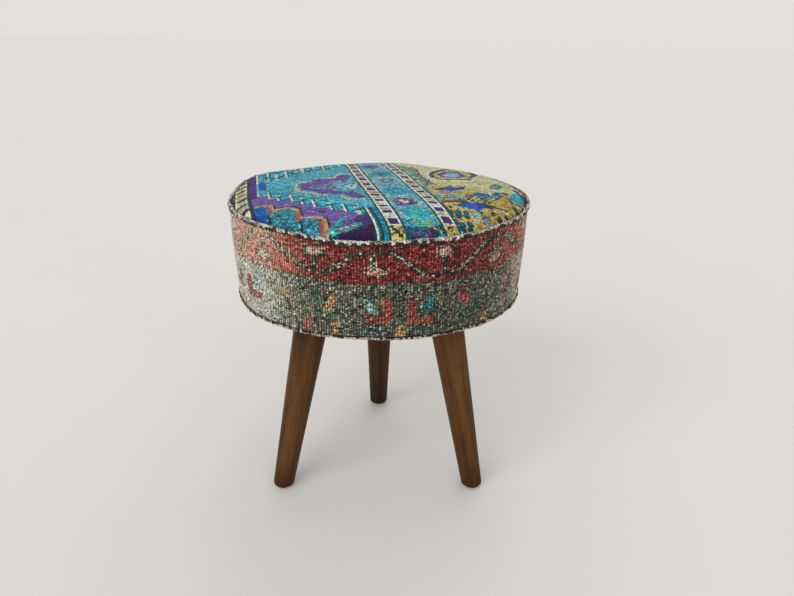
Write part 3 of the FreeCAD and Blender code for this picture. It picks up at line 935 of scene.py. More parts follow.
# %% Top carpet mesh
PILE_RISE, PILE_NOISE = 0.36, 0.12
RIM_ROUND, RIM_DROP = 7.0, 2.8
CARPET_THICK = 5.0
BACK_RINGS = (1.0, 0.97, 0.85, 0.65, 0.4, 0.2)
WARP, RIM_CREASE_SHADE = np.array((168, 158, 136.0)), (46, 38, 40)
KNOT_LIGHT, GAP_DARK = 1.22, 0.84

row_index, column_index = divmod(top_used, top_side)
middleness = (row_index % 2) * (column_index % 2)
height = crown(top_x, top_y) + PILE_RISE * middleness + draws.normal(size=len(top_x)) * PILE_NOISE
rim_share = np.clip((np.hypot(top_x, top_y) - RIM + RIM_ROUND) / RIM_ROUND, 0, 1)
height = height - RIM_DROP * (1 - np.sqrt(1 - 0.999 * rim_share**2))
face_row, face_column = (line // 2 for line in divmod(top_used[top_faces[:, 0]], top_side))
knot_code = face_row * top_side + face_column
knots, knot_of_face = np.unique(knot_code, return_inverse=True)
knot_y, knot_column = ((line + 0.5) * KNOT - (top_side // 2) * KNOT / 2 for line in divmod(knots, top_side))
knot_colour = top_chart(carried(knot_column, GUIDE_COLUMNS, guides(knot_y)), knot_y)
knot_colour = knot_shades(knot_colour, knots // top_side, strength=0.15)
print("knots in the top:", len(knots))

# %% Top carpet piece
front_points = np.stack([top_x, top_y, height], 1)
back = []
back_faces = []
ring_size = len(rim_start)
first = len(front_points)
rim_lookup = np.searchsorted(rim_points, rim_start)
rim_lookup_end = np.searchsorted(rim_points, rim_end)
for ring, share in enumerate(BACK_RINGS):
    ring_x, ring_y = top_x[rim_points] * share, top_y[rim_points] * share
    back.append(np.stack([ring_x, ring_y, crown(ring_x, ring_y) - CARPET_THICK], 1))
    here = first + ring * len(rim_points)
    a, b = (rim_start, rim_end) if ring == 0 else (here - len(rim_points) + rim_lookup,
                                                   here - len(rim_points) + rim_lookup_end)
    back_faces.append(np.stack([b, a, here + rim_lookup, here + rim_lookup_end], 1))
middle = first + len(BACK_RINGS) * len(rim_points)
last = middle - len(rim_points)
back.append(np.array([[0.0, 0.0, float(crown(0.0, 0.0)) - CARPET_THICK]]))
back_tips = np.stack([last + rim_lookup_end, last + rim_lookup, np.full(ring_size, middle)], 1)
# gap_shade darkens each knot's edges and lightens its middle: painted shade between the knots.
gap_shade = np.where(middleness == 1, KNOT_LIGHT, GAP_DARK) + draws.normal(size=len(top_x)) * 0.12
top_corner = (knot_colour[knot_of_face][:, None, :] * gap_shade[top_faces][..., None]).reshape(-1, 3)
back_corners = 4 * ring_size * len(BACK_RINGS) + 3 * ring_size
back_colour = np.tile(WARP, (back_corners, 1))
# The first ring of the back, the wall under the rim, is dark: painted shade in the crease by the edge.
back_colour[: 4 * ring_size] = RIM_CREASE_SHADE
top_colours = np.concatenate([top_corner, back_colour])


def pile_finish(name, fibre_per_metre, sheen):
    """Cut wool: the knot's colour, broken up by fibres, dull, with a soft sheen at low angles."""
    wool = Finish(name, Sheen_Weight=sheen, Sheen_Roughness=0.45, Specular_IOR_Level=0.2)
    yarn = wool.node("Attribute", {"attribute_name": "yarn"}, out="Color")
    fibre = wool.noise(fibre_per_metre, detail=3.0, rough=0.65)
    tufts = wool.noise(fibre_per_metre * 0.3, detail=1.0)
    shade = wool.mix(0.75 * wool.step(fibre, 0.3, 0.7), rgb(196, 196, 196), rgb(255, 255, 255))
    colour = wool.mix(1.0, yarn, shade, "MULTIPLY")
    under = wool.bump(tufts, 0.5)
    return wool.show(Base_Color=colour, Roughness=0.8 + 0.15 * fibre, Normal=wool.bump(fibre, 0.35, under))


top_wool = pile_finish("top_carpet_wool", 1500.0, 0.06)
top_carpet = make_piece("top_carpet_pile", pushed_out(np.concatenate([front_points, *back])),
                        [np.concatenate([top_faces, *back_faces]), back_tips], top_wool, "seat",
                        ("top_carpet",), top_colours)

# %% [markdown]
# ## The side carpet's pattern
# A border strip from another, older rug: red above, with a dark vine in a zigzag and a small
# blossom in each bend, and worn grey-green below, with red corners, short slanting dashes and a
# row of small blocks at the foot. The vine repeats at about each eighth of the way round and the
# corners at about each fifth. The side is paler on the left and on the right, where the wool has
# faded; on the left the paleness is also painted light from the lamp's side. What isn't seen in
# the photograph repeats the same rule.

# %% Side pattern
SIDE_COLUMNS, SIDE_ROWS = 384, 46
MM_PER_DEGREE = 3.4
SIDE_FOOT, SIDE_HEAD = heights("side_carpet")
RED_FROM = 362.0
VINE_BEND = ((0, 401), (10, 401), (23, 374), (32, 374))
VINE = (*((start + x, y) for start in (-186.5, -141.5) for x, y in VINE_BEND), (-96.5, 401), (-86.5, 401),
        (-72, 374), (-62, 372), (-52.5, 396), (-49.5, 402), (-40.5, 403), (-38, 399), (-26, 374), (-19, 372),
        (-7.5, 400), (4, 401), (16, 370), (27.5, 371), (40.5, 402), (49.5, 400), (62.5, 371), (71, 371),
        *((start + x, y) for start in (83.5, 128.5, 173.5) for x, y in VINE_BEND))
HANGING = (-136.5, -91.5, -44.4, -1.5, 45.0, 88.5, 133.5, 178.5)
STANDING = (-159, -114, -67, -22.1, 22.1, 66.5, 111, 156)
CORNER_PAIRS = (-59.4, 7.0, 79.0, 151.0, 223.0)
# How pale the side is at each angle from the front: faded wool, and on the left also painted light from the
# lamp's side.
PALE_AT = (-180, -120, -90, -66, -45, -30, -15, 0, 30, 45, 60, 75, 90, 130, 180)
PALENESS = (0.0, 0.3, 0.97, 1.0, 0.9, 0.28, 0.01, 0.0, 0.0, 0.16, 0.58, 0.97, 0.74, 0.1, 0.0)
RED_DEEP, RED_PALE = np.array((105, 39, 35.0)), np.array((226, 134, 114.0))
GREY_DEEP, GREY_PALE = np.array((72, 73, 61.0)), np.array((216, 206, 184.0))
GREY_SHADES = ((-42, 11, (-32, -19, -23)), (-22, 6.5, (-16, -15, -15)), (-10.5, 5, (18, 18, 17)),
               (-6, 15, (-6, -7, -9)), (33, 17, (-7, -7, -6)), (76, 12, (-2, -12, -26)))
VINE_DARK, VINE_LIGHT, MARK_RED = (38, 40, 32), (134, 140, 114), (128, 66, 56)
BLOSSOM, SIDE_ORANGE, SIDE_TEAL, SIDE_GREEN = (212, 122, 106), (166, 118, 76), (32, 92, 96), (52, 80, 62)
print("blossoms round the side:", len(HANGING) + len(STANDING))


def quartered(values):
    """Gives each whole knot's value to its four quarters."""
    return values.repeat(2, axis=0).repeat(2, axis=1)


class StripChart(Chart):
    """A chart of quarter knots: motifs have fine edges, but a stray colour fills a whole knot."""

    def speckle(self, where, colour, share):
        self.put(where & (quartered(draws.random((SIDE_ROWS, SIDE_COLUMNS))) < share), colour)


def side_ground(chart):
    """Red above and grey-green below, each between its deep and its pale colour, with stray knots; the pale
    colour is faded wool, and on the left also painted light.
    """
    paleness = np.interp(chart.x, PALE_AT, PALENESS)[..., None]
    red = RED_DEEP + (RED_PALE - RED_DEEP) * paleness
    red = red - np.array((4, 5, 5.0)) * hill(chart.x, -6, 15)[..., None]
    grey = GREY_DEEP + (GREY_PALE - GREY_DEEP) * paleness
    for middle, spread, shade in GREY_SHADES:
        grey = grey + np.array(shade) * hill(chart.x, middle, spread)[..., None]
    cloud = np.sin(chart.x / 4.6 + 1.6 * np.sin(chart.y / 9)) * np.sin(chart.y / 8 + chart.x / 13)
    olive = quartered(draws.random((SIDE_ROWS, SIDE_COLUMNS)))[..., None]
    grey = grey * (0.74 + 0.52 * olive + 0.07 * cloud[..., None]) + np.array((5, 3, -3.0)) * (olive - 0.4)
    edge = RED_FROM + 0.8 * np.sin(chart.x / 7) + 2.5 * hill(chart.x, -20, 9)
    chart.colour[:] = np.where((chart.y > edge)[..., None], red, grey)
    dim = paleness[..., 0] < 0.5
    chart.speckle((chart.y < edge) & dim, (52, 54, 44), 0.12)
    Chart.speckle(chart, chart.y < edge, (150, 148, 122), 0.1)
    chart.speckle((chart.y < edge) & dim, (66, 78, 72), 0.15)
    chart.speckle((chart.y > edge) & dim, (78, 24, 20), 0.2)
    Chart.speckle(chart, (chart.y > edge) & dim, (150, 96, 82), 0.06)
    chart.speckle(abs(chart.y - edge) < 1.6, (56, 46, 38), 0.35)
    return paleness[..., 0]


def vine(chart, paleness):
    """A zigzag with flat turns, through points of angle and height; dark beside a dotted pale middle."""
    turns = np.array(VINE, float).T
    off = chart.y - np.interp(chart.x, *turns)
    steep = abs(np.interp(chart.x + 0.6, *turns) - np.interp(chart.x - 0.6, *turns)) > 1.0
    on = abs(off) < np.where(steep, 4.6, 2.6)
    chart.speckle(on, VINE_DARK, np.where(steep, 0.92, 0.85))
    core = steep & (abs(off) < 1.7)
    chart.speckle(core, VINE_LIGHT, 0.52)
    chart.speckle(core, (176, 172, 146), 0.12 + 0.3 * paleness)
    chart.speckle(core & (chart.x > 36), (76, 98, 88), 0.5)
    chart.speckle(on & ~core, VINE_LIGHT, 0.08 + 0.12 * paleness)


def blossoms(chart, paleness):
    """A blossom and its stem in every bend, hanging and standing in turn, paler where the side is pale:
    faded wool, and on the left painted light.
    """
    for x, y, stem in (*((x, 377, 397) for x in HANGING), *((x, 398, 375) for x in STANDING)):
        wide, dotted = (1.5, 0.45) if y < stem else (2.0, 0.12)
        chart.line(VINE_DARK, wide, (x, y), (x, stem))
        chart.speckle(chart.distance(((x, y), (x, stem))) < 1.2, VINE_LIGHT, dotted)
        chart.spots(VINE_DARK, 7.6, 14, (x, y), power=2.6)
        chart.speckle(chart.beside(x, y, 3.8, 7), VINE_LIGHT, 0.3)
        chart.spots((146, 130, 106), 5.6, 11.0, (x, y), power=2.4)
        chart.speckle(chart.beside(x, y, 2.9, 5.6), (70, 76, 60), 0.25)
        chart.spots(BLOSSOM, 4.4, 8.8, (x, y), power=2.2)
        chart.speckle(chart.beside(x, y, 1.9, 4), (220, 180, 154), 0.16)
        near = chart.beside(x, y, 2.8, 5.6)
        chart.colour[near] += paleness[near][:, None] * np.array((14, 46, 40.0))
    dark = (chart.colour.sum(-1) < 190) & (chart.y > RED_FROM + 3)
    chart.colour[dark] += paleness[dark][:, None] * np.array((86, 92, 76.0))


def red_block(chart, left, right, low, high):
    chart.fill(MARK_RED, (left, low), (right, low), (right, high), (left, high))


def side_corners(chart, middle):
    """Two red corners back to back, with a slanting teal leaf inside each."""
    for side in (-1, 1):
        bar = middle + side * 4.4
        low = (315.5 if middle < 0 else 309) - 1.5 * side
        red_block(chart, bar - 1.5, bar + 1.5, low, 343)
        red_block(chart, *sorted((bar, bar + side * 7.4)), low, low + 9)
        if middle < 0:
            chart.spots((128, 190, 200), 4.6, 15, (bar + side * 4.6, 336))
            continue
        leaf = SIDE_TEAL if side > 0 else (116, 152, 146)
        chart.line(leaf, 2.8, (bar + side * 7.2, 341), (bar + side * 3.8, 325))
        chart.line(leaf, 1.6, (bar + side * 7.0, 334), (bar + side * 4.6, 324))


def dash(chart, colour, width, x, y, x2, y2, second=None):
    """A short slanting dash of wool: how far each knot is from a line, with degrees as millimetres."""
    run = np.array([(x2 - x) * MM_PER_DEGREE, y2 - y])
    dx, dy = (chart.x - x) * MM_PER_DEGREE, chart.y - y
    share = np.clip((dx * run[0] + dy * run[1]) / (run**2).sum(), 0, 1)
    near = np.hypot(dx - share * run[0], dy - share * run[1]) < width / 2
    chart.speckle(near, colour, 0.88)
    if second is not None:
        chart.speckle(near, second, 0.35)


QUIET_MARKS = ((SIDE_ORANGE, 9, 22.2, 343, 25.3, 335, (150, 134, 100)), (VINE_DARK, 4, 25, 330, 27, 318),
               (SIDE_GREEN, 9, 38.4, 346, 37.9, 317, (56, 64, 52)), ((60, 44, 34), 5, 42.4, 342, 40.6, 328),
               (SIDE_ORANGE, 9, 43.8, 342, 41.5, 326, (140, 110, 70)),
               (SIDE_GREEN, 8, 39.4, 317, 44.6, 318, (90, 110, 80)), (MARK_RED, 9, 33.4, 306, 33.2, 296),
               (SIDE_ORANGE, 8, 44.4, 306, 44, 296, (150, 120, 80)))
BUSY_MARKS = (((52, 44, 36), 5, 21, 344, 25, 326), (MARK_RED, 10, 22.6, 340, 25.8, 325, (150, 70, 60)),
              (SIDE_GREEN, 8, 28.9, 340, 30.6, 320, (60, 80, 66)),
              (SIDE_GREEN, 8, 30.2, 317, 23, 316, (34, 96, 96)),
              (SIDE_GREEN, 8, 40.5, 346, 40, 322, (96, 120, 100)),
              (MARK_RED, 9, 49.4, 341, 45.8, 322, (120, 60, 56)),
              ((84, 110, 88), 8, 52.6, 340, 50, 322, (60, 80, 66)),
              (SIDE_ORANGE, 10, 34.7, 301, 35, 294, (150, 120, 80)))


def between_corners(chart, start, marks):
    """The dashes between two pairs of corners: orange and green ones, or more of red and green."""
    for colour, width, x, y, x2, y2, *second in marks:
        dash(chart, colour, width, start + x, y, start + x2, y2, *second)


def side_foot_blocks(chart):
    """A row of slate blocks along the foot, with an orange block between some of them."""
    for x, half in ((-2.5, 6.0), (17.4, 4.8), (-38, 5.0), (33, 4.0), (60, 5.0)):
        for turn_by in (0.0, 142.0, -142.0):
            at = half_turned(x + turn_by)
            block = (abs(chart.x - at) < half) & (chart.y < 304) & (chart.y > 292)
            chart.speckle(block, (66, 82, 88), 0.5)
    for x in (7.7, 79.7, 151.7, -136.0, -63.0):
        dash(chart, SIDE_ORANGE, 11, x, 302, x, 296, (170, 136, 96))


def side_chart(x, y):
    """The whole side strip: x is the angle from the front in degrees, y the height."""
    chart = StripChart(x, y, GREY_DEEP)
    paleness = side_ground(chart)
    vine(chart, paleness)
    blossoms(chart, paleness)
    for number, middle in enumerate(CORNER_PAIRS):
        at = half_turned(middle)
        side_corners(chart, at)
        for start in (at - 360, at):
            between_corners(chart, start, BUSY_MARKS if number in (1, 3) else QUIET_MARKS)
    side_foot_blocks(chart)
    # Paler again where the side turns away from the front, more on the left: faded wool, and on the left
    # partly painted light from the lamp's side.
    turned_away = plateau(abs(x), 66, 14, 120, 30)
    paling = (np.where(y < RED_FROM, 0.2, 0.1) * paleness + np.where(x < 0, 0.6, 0.4) * turned_away)[..., None]
    pale_side_colour = np.where((x < 0)[..., None], (214, 204, 184.0), (188, 156, 126.0))
    return chart.colour * (1 - paling) + pale_side_colour * paling


# %% [markdown]
# ## The side carpet
# A strip five millimetres thick, stretched round the drum and sewn end to end at the back. Its
# knots stand in upright ribs, which show clearly where the pile is worn, so the columns are
# deeper than the rows. The face follows a slightly bulging drum, and its two edges follow the sag.

# %% Side carpet
SIDE_FOOT_RADIUS, SIDE_SPREAD, SIDE_MEAN_RADIUS = 193.5, 4.5, 195.7
RIB_DEPTH, ROW_DEPTH, SIDE_NOISE = 0.7, 0.35, 0.16
BACK_LEVELS = (1.0, 0.75, 0.5, 0.25, 0.0)


def side_surface(angle, level):
    """Radius and height at a level from 0 at the foot to 1 at the head, with slow bulges."""
    z = SIDE_FOOT + (SIDE_HEAD - SIDE_FOOT) * level
    bulge = 0.8 * np.sin(np.pi * level) + 0.5 * np.sin(7 * angle + 4 * level) * np.sin(np.pi * level)
    r = SIDE_FOOT_RADIUS + SIDE_SPREAD * (z - DRUM_FOOT) / DRUM_TALL + bulge
    return r, z + rim_sag(angle) * level + foot_sag(angle) * (1 - level)


angles = full_turn(2 * SIDE_COLUMNS)
levels = np.arange(2 * SIDE_ROWS + 1) / (2 * SIDE_ROWS)
level_grid, angle_grid = np.meshgrid(levels, angles, indexing="ij")
side_r, side_z = side_surface(angle_grid, level_grid)
inner = np.sin(np.pi * level_grid) ** 0.5
pitch = 2 * np.pi / SIDE_COLUMNS
waver = 0.22 * np.sin(9 * angle_grid + 7 * level_grid) + 0.16 * np.sin(31 * angle_grid - 11 * level_grid)
column_step = np.repeat(draws.normal(size=SIDE_COLUMNS) * 0.1, 2)
angle_grid = angle_grid + pitch * (waver + column_step + draws.normal(size=angle_grid.shape) * 0.06)
row_step = np.repeat(draws.normal(size=SIDE_COLUMNS) * 0.45, 2)
row_step = row_step + 0.9 * np.sin(13 * angle_grid + 3 * level_grid)
side_z = side_z + inner * (row_step + draws.normal(size=side_z.shape) * PILE_NOISE)
column_kind = np.arange(2 * SIDE_COLUMNS)[None, :] % 2
row_kind = np.arange(2 * SIDE_ROWS + 1)[:, None] % 2
relief = RIB_DEPTH * (column_kind - 1) + ROW_DEPTH * (row_kind - 1) * column_kind
side_r = side_r + relief + draws.normal(size=side_r.shape) * SIDE_NOISE
back_level, back_angle = np.meshgrid(np.array(BACK_LEVELS), angles, indexing="ij")
back_r, back_z = side_surface(back_angle, back_level)
all_r = np.concatenate([side_r, back_r - CARPET_THICK])
all_z = np.concatenate([side_z, back_z])
all_angle = np.concatenate([angle_grid, back_angle])
side_points = turned_points(all_r, all_angle, all_z).reshape(-1, 3)
side_faces = tube_faces(len(all_r), 2 * SIDE_COLUMNS)
print("the side goes from", round(SIDE_FOOT, 1), "to", round(SIDE_HEAD, 1), "mm")

# %% Side carpet piece
knot_angle = (np.arange(2 * SIDE_COLUMNS) + 0.5) * np.pi / SIDE_COLUMNS
knot_height = SIDE_FOOT + (SIDE_HEAD - SIDE_FOOT) * (np.arange(2 * SIDE_ROWS) + 0.5) / (2 * SIDE_ROWS)
knot_y, knot_x = np.meshgrid(knot_height, np.degrees(from_front(knot_angle)), indexing="ij")
side_knots = side_chart(knot_x, knot_y)
knot_rows = np.broadcast_to(np.arange(2 * SIDE_ROWS)[:, None] // 2, knot_x.shape)
whole_knots = draws.normal(size=(SIDE_ROWS, SIDE_COLUMNS)) * 0.2
side_knots = side_knots * (1 + quartered(whole_knots))[..., None]
fine = knot_shades(side_knots, knot_rows, strength=0.15, drift=0.03).reshape(-1, 3)
# rib_shade is painted shade: darker in the gaps between ribs and between rows, lighter on the rib middles,
# with stronger ribs on the left.
rib = 0.3 + bell(angles, 0.16, -38, 26)
rib_shade = np.where(column_kind == 1, 0.93 + rib, 0.93 - rib) * np.where(row_kind == 1, 1.12, 0.8)
rib_shade = (rib_shade + draws.normal(size=rib_shade.shape) * 0.3).ravel()
face_count = 2 * SIDE_ROWS * 2 * SIDE_COLUMNS
corner_shade = rib_shade[side_faces[:face_count]][..., None]
# Where the corner shade is above 1 the colour turns towards a pale wool tone: a painted highlight on the
# knot tops.
painted_glint = np.clip(corner_shade - 1, 0, 1)
side_corner = fine[:, None, :] * (corner_shade - 0.4 * painted_glint)
side_corner = (side_corner + np.array((203, 183, 168.0)) * 0.34 * painted_glint).reshape(-1, 3)
side_back = np.tile(WARP, (4 * (len(side_faces) - face_count), 1))
side_wool = pile_finish("side_carpet_wool", 1100.0, 0.06)
side_carpet = make_piece("side_carpet_pile", pushed_out(side_points), [side_faces], side_wool, "seat",
                         ("side_carpet",), np.concatenate([side_corner, side_back]))

# %% [markdown]
# ## Overcast edges
# Top and side meet in an edge that is wrapped all the way round with thick yarn, one slanting
# stitch beside another. It is two-ply yarn, cream and nearly black, so each stitch shows a short
# cream blob where the light ply comes up, and dark yarn above and below it. On the side towards
# the seam the dark is partly black yarn and partly painted shade of the seam, and the gaps between
# stitches are painted shade. The foot has the same edge, thinner. A plain ring would look like
# piping, so the ring's thickness rises and falls with each stitch, and each stitch has its own blob.

# %% Edge surface
WRAP_SAMPLES = 6


def wrapped_ring(ring_radius, height_at, thick, stitches, slant, samples=14):
    """A ring whose section swells with the height of a half sine across each slanting stitch."""
    columns = stitches * WRAP_SAMPLES
    turn_by, angle = np.meshgrid(full_turn(samples), full_turn(columns), indexing="ij")
    stitch = stitches * angle / (2 * np.pi) + slant * np.sin(turn_by / 2) ** 2 + 0.35 * np.sin(9 * angle)
    swell = abs(np.sin(np.pi * stitch)) ** 0.7
    loose = draws.normal(size=stitches)[np.floor(stitch).astype(int) % stitches] * 0.3
    r = thick * (0.7 + 0.42 * swell) + loose * swell
    flat, up = ring_radius + r * np.cos(turn_by), height_at(angle) + r * np.sin(turn_by)
    points = turned_points(flat, angle, up).reshape(-1, 3)
    faces = tube_faces(samples, columns)
    face_turn = np.degrees(turn_by + np.pi / samples).ravel()
    face_stitch = np.floor(stitch + 0.5 / WRAP_SAMPLES).astype(int).ravel() % stitches
    # shade darkens the gaps between stitches and lightens their swell: painted shade.
    shade = (0.46 + 0.62 * swell).ravel()
    return points, faces, face_stitch, face_turn, shade


def edge_colours(ring, light, dark, blob_at, blob_half, light_share):
    """Light yarn within so many degrees of a stitch's own blob, round the section; dark elsewhere."""
    points, faces, face_stitch, face_turn, shade = ring
    count = face_stitch.max() + 1
    light_yarn = np.array(light, float)[draws.integers(len(light), size=count)][face_stitch]
    dark_yarn = np.array(dark, float)[draws.integers(len(dark), size=len(face_stitch))]
    middle = (blob_at + draws.normal(size=count) * 20)[face_stitch]
    half = (blob_half * draws.uniform(0.5, 1.35, size=count))[face_stitch]
    shows = (draws.random(count) < light_share)[face_stitch]
    off = abs(half_turned(face_turn - middle))
    speck = draws.random(len(face_stitch)) < 0.09
    colour = np.where(((off < half) & shows & ~speck)[:, None], light_yarn, dark_yarn)
    colour = colour * (1 + draws.normal(size=len(colour)) * 0.16)[:, None]
    start = points[faces[:, 0]]
    away = abs(np.degrees(from_front(np.arctan2(start[:, 1], start[:, 0]))))
    # The edge turns paler towards the left and the right, as the side carpet does there.
    paling = 0.5 * plateau(away, 76, 14, 124, 16)[:, None]
    colour = colour * (1 - paling) + np.array((200, 178, 156.0)) * paling
    return (colour[:, None, :] * shade[faces][..., None]).reshape(-1, 3)


def yarn_finish():
    """Twisted wool yarn: the stitch's colour with fine fibres and a dull sheen."""
    wool = Finish("overcast_yarn", Sheen_Weight=0.1, Sheen_Roughness=0.4, Specular_IOR_Level=0.25)
    yarn = wool.node("Attribute", {"attribute_name": "yarn"}, out="Color")
    fibre = wool.noise(2200.0, detail=3.0, rough=0.7)
    shade = wool.mix(wool.step(fibre, 0.35, 0.65), rgb(190, 188, 184), rgb(255, 255, 255))
    colour = wool.mix(1.0, yarn, shade, "MULTIPLY")
    return wool.show(Base_Color=colour, Roughness=0.75 + 0.2 * fibre, Normal=wool.bump(fibre, 0.3))


edge_yarn = yarn_finish()
print("edge yarn is", edge_yarn.name)

# %% Top and bottom edge
TOP_EDGE_RADIUS, TOP_EDGE_HEIGHT, TOP_EDGE_THICK = 197.0, 412.0, 2.9
FOOT_EDGE_RADIUS, FOOT_EDGE_HEIGHT, FOOT_EDGE_THICK = 193.0, 289.6, 2.0
TOP_LIGHT = ((236, 230, 212), (220, 216, 190), (176, 184, 162), (204, 172, 168), (232, 228, 214),
             (146, 150, 134))
TOP_DARK = ((26, 24, 22), (36, 34, 28), (44, 46, 38), (40, 28, 30), (96, 84, 76))
FOOT_LIGHT = ((212, 198, 172), (182, 166, 140), (196, 156, 140), (146, 136, 114))
FOOT_DARK = ((34, 32, 28), (48, 44, 38))

top_ring = wrapped_ring(TOP_EDGE_RADIUS, lambda a: TOP_EDGE_HEIGHT + rim_sag(a), TOP_EDGE_THICK, 270, 2.8)
make_piece("top_edge_overcast", pushed_out(top_ring[0]), [top_ring[1]], edge_yarn, "seat",
           ("top_edge_cord",), edge_colours(top_ring, TOP_LIGHT, TOP_DARK, 56, 50, 0.95))
foot_ring = wrapped_ring(FOOT_EDGE_RADIUS, lambda a: FOOT_EDGE_HEIGHT + foot_sag(a), FOOT_EDGE_THICK, 360,
                         0.8, samples=10)
make_piece("foot_edge_overcast", foot_ring[0], [foot_ring[1]], edge_yarn, "seat",
           ("bottom_edge_cord",), edge_colours(foot_ring, FOOT_LIGHT, FOOT_DARK, -30, 66, 0.92))

# %% [markdown]
# ## What is inside: foam and padding
# Neither can be seen once the stool is closed, but the stool holds them, so they are pieces too.
# The foam is a crowned disc that fills the space under the carpet. The padding is a thin felt
# ring between the hoop and the side carpet.


# %% Foam and padding
def turned_ring(profile, samples=96):
    """A closed profile of radius and height, carried round the middle; both directions are joined."""
    profile = np.array(profile, float)
    r, z = profile[:, 0][:, None], profile[:, 1][:, None]
    return turned_points(r, full_turn(samples), z).reshape(-1, 3), [tube_faces(len(profile), samples)]


def turned_solid(profile, samples=96):
    """A profile from the middle line below to the middle line above, each end closed by a fan."""
    rings = turned_ring(profile[1:-1], samples)[0]
    walls = grid_faces(len(profile) - 2, samples, wrap_columns=True)
    along = np.arange(samples)
    after = (along + 1) % samples
    low, high = len(rings), len(rings) + 1
    fans = [np.stack([np.full(samples, low), after, along], -1),
            np.stack([low - samples + along, low - samples + after, np.full(samples, high)], -1)]
    ends = np.array([(0.0, 0.0, profile[0][1]), (0.0, 0.0, profile[-1][1])])
    return np.concatenate([rings, ends]), [walls, *fans]


def foam_finish():
    """Cut polyurethane foam: pale yellow with small open cells."""
    foam = Finish("seat_foam_cells", Specular_IOR_Level=0.2)
    cells = foam.node("TexVoronoi", {}, {"Vector": foam.place, "Scale": 700.0})
    aged = foam.noise(12.0)
    colour = foam.mix(foam.step(aged, 0.35, 0.75), rgb(232, 220, 170), rgb(214, 196, 138))
    return foam.show(Base_Color=foam.mix(0.5 * (1 - foam.step(cells, 0.1, 0.5)), colour, rgb(180, 160, 110)),
                     Roughness=0.85 + 0.1 * aged, Normal=foam.bump(cells, 0.5))


FOAM_FOOT, FOAM_RADIUS, FOAM_GAP = heights("seat_foam")[0], RIM - 2.2, 0.4
ABOVE_ALL = 900.0
foam_profile = [(0.0, FOAM_FOOT), *((FOAM_RADIUS * share, FOAM_FOOT) for share in (0.3, 0.6, 0.9, 0.97)),
                (FOAM_RADIUS * 0.985, FOAM_FOOT + 12),
                *((FOAM_RADIUS * share, ABOVE_ALL) for share in np.linspace(1, 0.04, 25)), (0.0, ABOVE_ALL)]
foam_points, foam_faces = turned_solid(foam_profile, 120)
under_carpet = crown(foam_points[:, 0], foam_points[:, 1]) - CARPET_THICK - FOAM_GAP
foam_points[:, 2] = np.minimum(foam_points[:, 2], under_carpet)
foam = make_piece("seat_foam_cushion", pushed_out(foam_points), foam_faces, foam_finish(), "seat",
                  ("seat_foam",))


def felt_finish(name, light, dark, per_metre):
    """Pressed felt: short matted fibres in two shades."""
    felt = Finish(name, Specular_IOR_Level=0.2, Sheen_Weight=0.2)
    mat = felt.noise(per_metre, detail=5.0, rough=0.75)
    specks = felt.noise(per_metre * 2.5, detail=1.0)
    colour = felt.mix(felt.step(mat, 0.35, 0.65), dark, light)
    colour = felt.mix(0.5 * felt.step(specks, 0.62, 0.72), colour, rgb(70, 66, 62))
    return felt.show(Base_Color=colour, Roughness=0.85 + 0.12 * mat, Normal=felt.bump(mat, 0.5))


PAD_LOW, PAD_HIGH = heights("side_padding")
PAD_INNER, PAD_FOOT, PAD_HEAD = 182.2, 188.0, 191.0
padding_profile = ((PAD_INNER, PAD_LOW + 1), (PAD_FOOT - 1, PAD_LOW), (PAD_FOOT, PAD_LOW + 2),
                   (189.4, 320.0), (190.4, 350.0), (PAD_HEAD, PAD_HIGH - 2), (PAD_HEAD - 1, PAD_HIGH),
                   (PAD_INNER, PAD_HIGH - 1))
padding_points, padding_faces = turned_ring(padding_profile, 180)
grey_felt = felt_finish("padding_felt_fibres", rgb(150, 146, 140), rgb(112, 108, 104), 260.0)
padding = make_piece("side_padding_felt", padding_points, padding_faces, grey_felt, "seat",
                     ("side_padding",))

# %% [markdown]
# ## The underside: hem and dust cover
# The side carpet is held under the bottom board by a strip of plain canvas, which is stapled in
# small pleats because its inner edge is shorter than its outer one. A black dust cover lies inside
# it. It is pulled tight between its staples, so its edge draws in and out a little.

# %% Hem strip
HEM_OUTER, HEM_INNER = half_width("hem_strip"), 150.2
HEM_LOW, HEM_HIGH = heights("hem_strip")
HEM_STEPS, HEM_RINGS, HEM_MAP_RADIUS = 720, 13, 170
PLEATS = 40


def hem_sheet():
    """A flat ring whose lower face has pleats: sine waves, pressed flat at the inner and outer edge."""
    share, angle = np.meshgrid(np.linspace(0, 1, HEM_RINGS), full_turn(HEM_STEPS), indexing="ij")
    r = HEM_OUTER + (HEM_INNER - HEM_OUTER) * share
    ragged = 1.4 * np.sin(23 * angle) + 1.0 * np.sin(41 * angle + 1)
    r = r + ragged * share**2
    free = plateau(share, 0, 0.5, 0.72, 0.14)
    pleat = np.clip(np.sin(PLEATS * angle + 1.2 * np.sin(3 * angle)), -0.2, 1) * free
    low = turned_points(r, angle, HEM_LOW - 0.5 * pleat)
    high = turned_points(r, angle, HEM_HIGH - 0.1)[::-1]
    flat = np.stack([angle * HEM_MAP_RADIUS, HEM_OUTER - r], -1)
    return np.concatenate([low, high]).reshape(-1, 3), np.concatenate([flat, flat[::-1]]).reshape(-1, 2)


def give_map(piece, flat):
    """Gives each corner its place on the flat cloth, in millimetres."""
    corner = np.empty(len(piece.data.loops), np.int32)
    piece.data.loops.foreach_get("vertex_index", corner)
    layer = piece.data.uv_layers.new(name="cloth")
    layer.data.foreach_set("uv", flat[corner].astype(np.float32).ravel())


